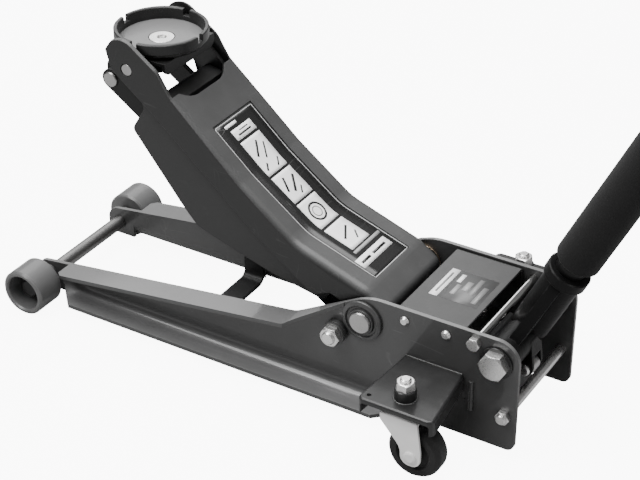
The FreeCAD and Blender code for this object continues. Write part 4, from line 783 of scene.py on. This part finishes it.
def bakeTree(tree, name, finish, values, path=()):
    # Runs a tree once on a path, or on nothing, and keeps the result as a plain mesh.
    lines = bpy.data.meshes.new(name + "Carrier")
    lines.from_pydata(path, [(i, i + 1) for i in range(len(path) - 1)], [])
    carrier = addObject(name + "Carrier", lines)
    modifier = carrier.modifiers.new("make", "NODES")
    modifier.node_group = tree
    values = {**values, "Finish": finishes[finish]}
    for item in tree.interface.items_tree:
        if item.item_type == "SOCKET" and item.in_out == "INPUT" and item.name in values:
            modifier[item.identifier] = values[item.name]
    graph = bpy.context.evaluated_depsgraph_get()
    graph.update()
    mesh = bpy.data.meshes.new_from_object(carrier.evaluated_get(graph))
    bpy.data.objects.remove(carrier)
    mesh.name = name
    bm = bmesh.new()
    bm.from_mesh(mesh)
    bmesh.ops.recalc_face_normals(bm, faces=bm.faces)
    bm.to_mesh(mesh)
    bm.free()
    for polygon in mesh.polygons:
        polygon.use_smooth = True
    return mesh


def placeMesh(mesh, start, fromAxis, toAxis):
    # Turns a mesh from one axis to another, then moves it to its start.
    turn = fromAxis.rotation_difference(toAxis).to_matrix().to_4x4()
    mesh.transform(Matrix.Translation(start) @ turn)


coilTree, beadTree, ringTree = makeCoilTree(), makeBeadTree(), makeRingTree()


def windCoil(name, start, axis, length, radius, wire, turns):
    # Zinc-plated wire wound from a place along an axis.
    values = {"Turns": float(turns), "Length": length, "Radius": radius, "Wire": wire}
    mesh = bakeTree(coilTree, name, "zinc_plate", values)
    placeMesh(mesh, start, alongX, axis)
    return mesh


# Springs

springSizes = {    # movingEnd is 0 for the end at the lower X, 1 for the other
    "return_springs": {"turns": 15, "wire": 0.0009, "mover": "ram", "movingEnd": 1},
    "plunger_spring": {"turns": 5.5, "wire": 0.0011, "mover": "plunger", "movingEnd": 0},
}


def makeSprings(nodeName, sizes):
    # Winds each solid of a spring node, and merges the coils into one piece.
    wire = sizes["wire"]
    merged = bmesh.new()
    for index, (low, high) in enumerate(solids(nodeName)):
        start = Vector((low.x + wire, (low.y + high.y) / 2, (low.z + high.z) / 2))
        merged.from_mesh(windCoil(nodeName + "Coil%d" % index, start, alongX, high.x - low.x - 2 * wire,
                                  (high.z - low.z) / 2 - wire, wire, sizes["turns"]))
    mesh = keepMesh(nodeName + "_wound", merged)
    mesh.materials.append(finishes["zinc_plate"])
    piece = addObject(nodeName + "_wound", mesh, None, [nodeName])
    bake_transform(piece)


for springName, springSize in springSizes.items():
    makeSprings(springName, springSize)
print("springs wound")


# Grip rings

ribSizes = {"count": 11, "pitch": 0.009, "start": 0.936, "radius": 0.0183, "wire": 0.0009}


def makeGripRibs(sizes):
    # Rings round the rubber grip, along the handle's own axis from the socket pivot.
    values = {"Count": sizes["count"], "Pitch": sizes["pitch"], "Radius": sizes["radius"],
              "Wire": sizes["wire"]}
    mesh = bakeTree(ringTree, "grip_ribs", "grip_rubber", values)
    axis = Vector(joints["handle_twist"]["axis"]).normalized()
    if axis.z < 0:
        axis = -axis
    placeMesh(mesh, Vector(joints["handle_twist"]["pos_m"]) + axis * sizes["start"], alongZ, axis)
    addObject("grip_ribs", mesh, "handle")


# Weld beads and small marks

beadSizes = {
    "radius": 0.0011, "step": 0.0007, "ripple": 0.22, "seed": 3, "ringCorners": 40,
    "plateFace": 0.074,    # the outer face of the side plates, between their flanges
    "bracketTop": 0.091, "bracketRun": (-0.5655, -0.4965),
    "bracketPost": (-0.5765, 0.0485, 0.0865), "postRadius": 0.003,    # X, low and high Z
    "boss": (-0.533, 0.141), "bossRadius": 0.0124, "collar": (0.0, 0.029), "collarRadius": 0.0134,
    "braceX": (-0.195, -0.222), "braceY": 0.069, "braceZ": (0.018, 0.041),
    "dots": ((-0.5692, 0.060), (-0.5525, 0.0165)), "dotRadius": 0.0014, "dotIn": 0.0004, "dotOut": 0.0006,
}


def circlePoints(centre, radius, corners):
    # Points round a circle, closed by its first point.
    turns = [2 * math.pi * k / corners for k in range(corners + 1)]
    return [(centre[0] + radius * math.cos(turn), centre[1] + radius * math.sin(turn)) for turn in turns]


def makeBeads(sizes):
    # Each bead is made on the left and mirrored to the right.
    face, top, radius = sizes["plateFace"], sizes["bracketTop"], sizes["radius"]
    postX, postLow, postHigh = sizes["bracketPost"]
    bossRing = circlePoints(sizes["boss"], sizes["bossRadius"], sizes["ringCorners"])
    collarRing = circlePoints(sizes["collar"], sizes["collarRadius"], sizes["ringCorners"])
    beads = {
        "bracket_top": (radius, [(x, face, top) for x in sizes["bracketRun"]]),
        "bracket_post": (sizes["postRadius"], [(postX, face, postLow), (postX, face, postHigh)]),
        "bracket_boss": (radius, [(x, y, top) for x, y in bossRing]),
        "collar": (radius, [(x, face, z) for x, z in collarRing]),
    }
    for index, x in enumerate(sizes["braceX"]):
        beads["brace_%d" % index] = (radius, [(x, sizes["braceY"], z) for z in sizes["braceZ"]])
    dotEnds = (face - sizes["dotIn"], face + sizes["dotOut"])
    for index, (x, z) in enumerate(sizes["dots"]):
        beads["dot_%d" % index] = (sizes["dotRadius"], [(x, y, z) for y in dotEnds])
    for side, sign in bothSides:
        for name, (beadRadius, path) in beads.items():
            values = {"Radius": beadRadius, "Step": sizes["step"], "Ripple": sizes["ripple"],
                      "Seed": sizes["seed"] + len(name)}
            fullName = "weld_%s_%s" % (name, side)
            mesh = bakeTree(beadTree, fullName, "weld_steel", values, [(x, y * sign, z) for x, y, z in path])
            addObject(fullName, mesh, "frame")


# Thread ends

threadSizes = {"pitch": 0.00125, "wire": 0.00042, "radius": 0.0058, "belowStudTop": 0.0012,
               "rodIn": 0.0028, "rodLength": 0.0016}


def makeThreads(sizes):
    # Screw threads on the stretch of each stud or rod that stands out of its nut.
    studTop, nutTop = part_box("caster_studs")[1].z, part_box("caster_nuts")[1].z
    rodLow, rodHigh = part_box("lower_tie_rod")
    rodX, rodZ = (rodLow.x + rodHigh.x) / 2, (rodLow.z + rodHigh.z) / 2
    studX, studY = beadSizes["boss"]
    for side, sign in bothSides:
        ends = (
            ("stud", Vector((studX, sign * studY, nutTop)), alongZ, studTop - nutTop - sizes["belowStudTop"]),
            ("rod", Vector((rodX, sign * (rodHigh.y - sizes["rodIn"]), rodZ)), Vector((0, sign, 0)),
             sizes["rodLength"]),
        )
        for kind, start, axis, length in ends:
            name = "thread_%s_%s" % (kind, side)
            turns = length / sizes["pitch"]
            mesh = windCoil(name, start, axis, length, sizes["radius"], sizes["wire"], turns)
            addObject(name, mesh, "frame")


makeGripRibs(ribSizes)
makeBeads(beadSizes)
makeThreads(threadSizes)
print("welds and threads made")


# Floor, light and camera

stageSizes = {"floor": 14.0, "floorTone": 0.35, "floorRoughness": 0.9, "floorGlow": 9.0, "skyTone": 0.92,
              "skyStrength": 0.2, "skyGlow": 9.5}


def makeStage(sizes):
    # A pale floor and sky. They are bright to the camera alone, so they light the jack only softly.
    bm = bmesh.new()
    half = sizes["floor"] / 2
    corners = ((-half, -half), (half, -half), (half, half), (-half, half))
    bm.faces.new([bm.verts.new((x, y, 0)) for x, y in corners])
    mesh = keepMesh("floor", bm)
    floor = addObject("floor", mesh)
    material, tree = newMaterial("paleFloor")
    seen = addNode(tree, "ShaderNodeLightPath").outputs["Is Camera Ray"]
    glow = mathNode(tree, "MULTIPLY", seen, sizes["floorGlow"])
    dress(tree, {"Base Color": grey(sizes["floorTone"]), "Roughness": sizes["floorRoughness"],
                 "Emission Color": (1, 1, 1, 1), "Emission Strength": glow})
    mesh.materials.append(material)
    world = bpy.data.worlds.new("studio")
    world.use_nodes = True
    sky = world.node_tree
    background = sky.nodes["Background"]
    seen = addNode(sky, "ShaderNodeLightPath").outputs["Is Camera Ray"]
    glow = rangeNode(sky, seen, 0.0, 1.0, sizes["skyStrength"], sizes["skyGlow"])
    feed(sky, background.inputs["Color"], grey(sizes["skyTone"]))
    feed(sky, background.inputs["Strength"], glow)
    bpy.context.scene.world = world


lights = {    # place, target, size and power
    "overheadLight": ((-0.1, 0.0, 2.6), (-0.3, 0, 0.1), (2.4, 2.4), 150),
    "farLight": ((1.5, -1.7, 1.9), (-0.3, 0, 0.2), (2.6, 1.6), 42),
    "leftLight": ((0.6, 1.5, 2.2), (-0.2, 0, 0.1), (1.2, 1.2), 48),
    "rearLight": ((-2.4, 0.6, 1.2), (-0.4, 0, 0.2), (0.9, 0.9), 9),
}


def addLight(name, place, target, size, power):
    data = bpy.data.lights.new(name, "AREA")
    data.shape = "RECTANGLE"
    data.size, data.size_y = size
    data.energy = power
    lamp = addObject(name, data)
    lamp.location = place
    lamp.rotation_euler = (Vector(target) - Vector(place)).to_track_quat("-Z", "Y").to_euler()


cameraSizes = {"place": (-1.2204, 1.4374, 1.2019), "yaw": 0.548, "pitch": 0.559, "roll": -0.003, "lens": 98.6,
               "sensor": 36, "farthest": 30}


def makeCamera(sizes):
    # Stands where the photograph was taken from; yaw turns from -Y towards +X, pitch looks down.
    data = bpy.data.cameras.new("photoCamera")
    data.lens = sizes["lens"]
    data.sensor_width = sizes["sensor"]
    data.clip_end = sizes["farthest"]
    camera = addObject("photoCamera", data)
    yaw, pitch, roll = sizes["yaw"], sizes["pitch"], sizes["roll"]
    level = Vector((math.sin(yaw), -math.cos(yaw), 0))
    forward = level * math.cos(pitch) + Vector((0, 0, -math.sin(pitch)))
    right = level.cross(alongZ).normalized()
    up = right.cross(forward)
    side = right * math.cos(roll) + up * math.sin(roll)
    top = up * math.cos(roll) - right * math.sin(roll)
    turn = Matrix((side, top, -forward)).transposed()
    camera.matrix_world = Matrix.Translation(Vector(sizes["place"])) @ turn.to_4x4()
    bpy.context.scene.camera = camera


makeStage(stageSizes)
for lightName, lightValues in lights.items():
    addLight(lightName, *lightValues)
makeCamera(cameraSizes)
print("stage, lights and camera set")
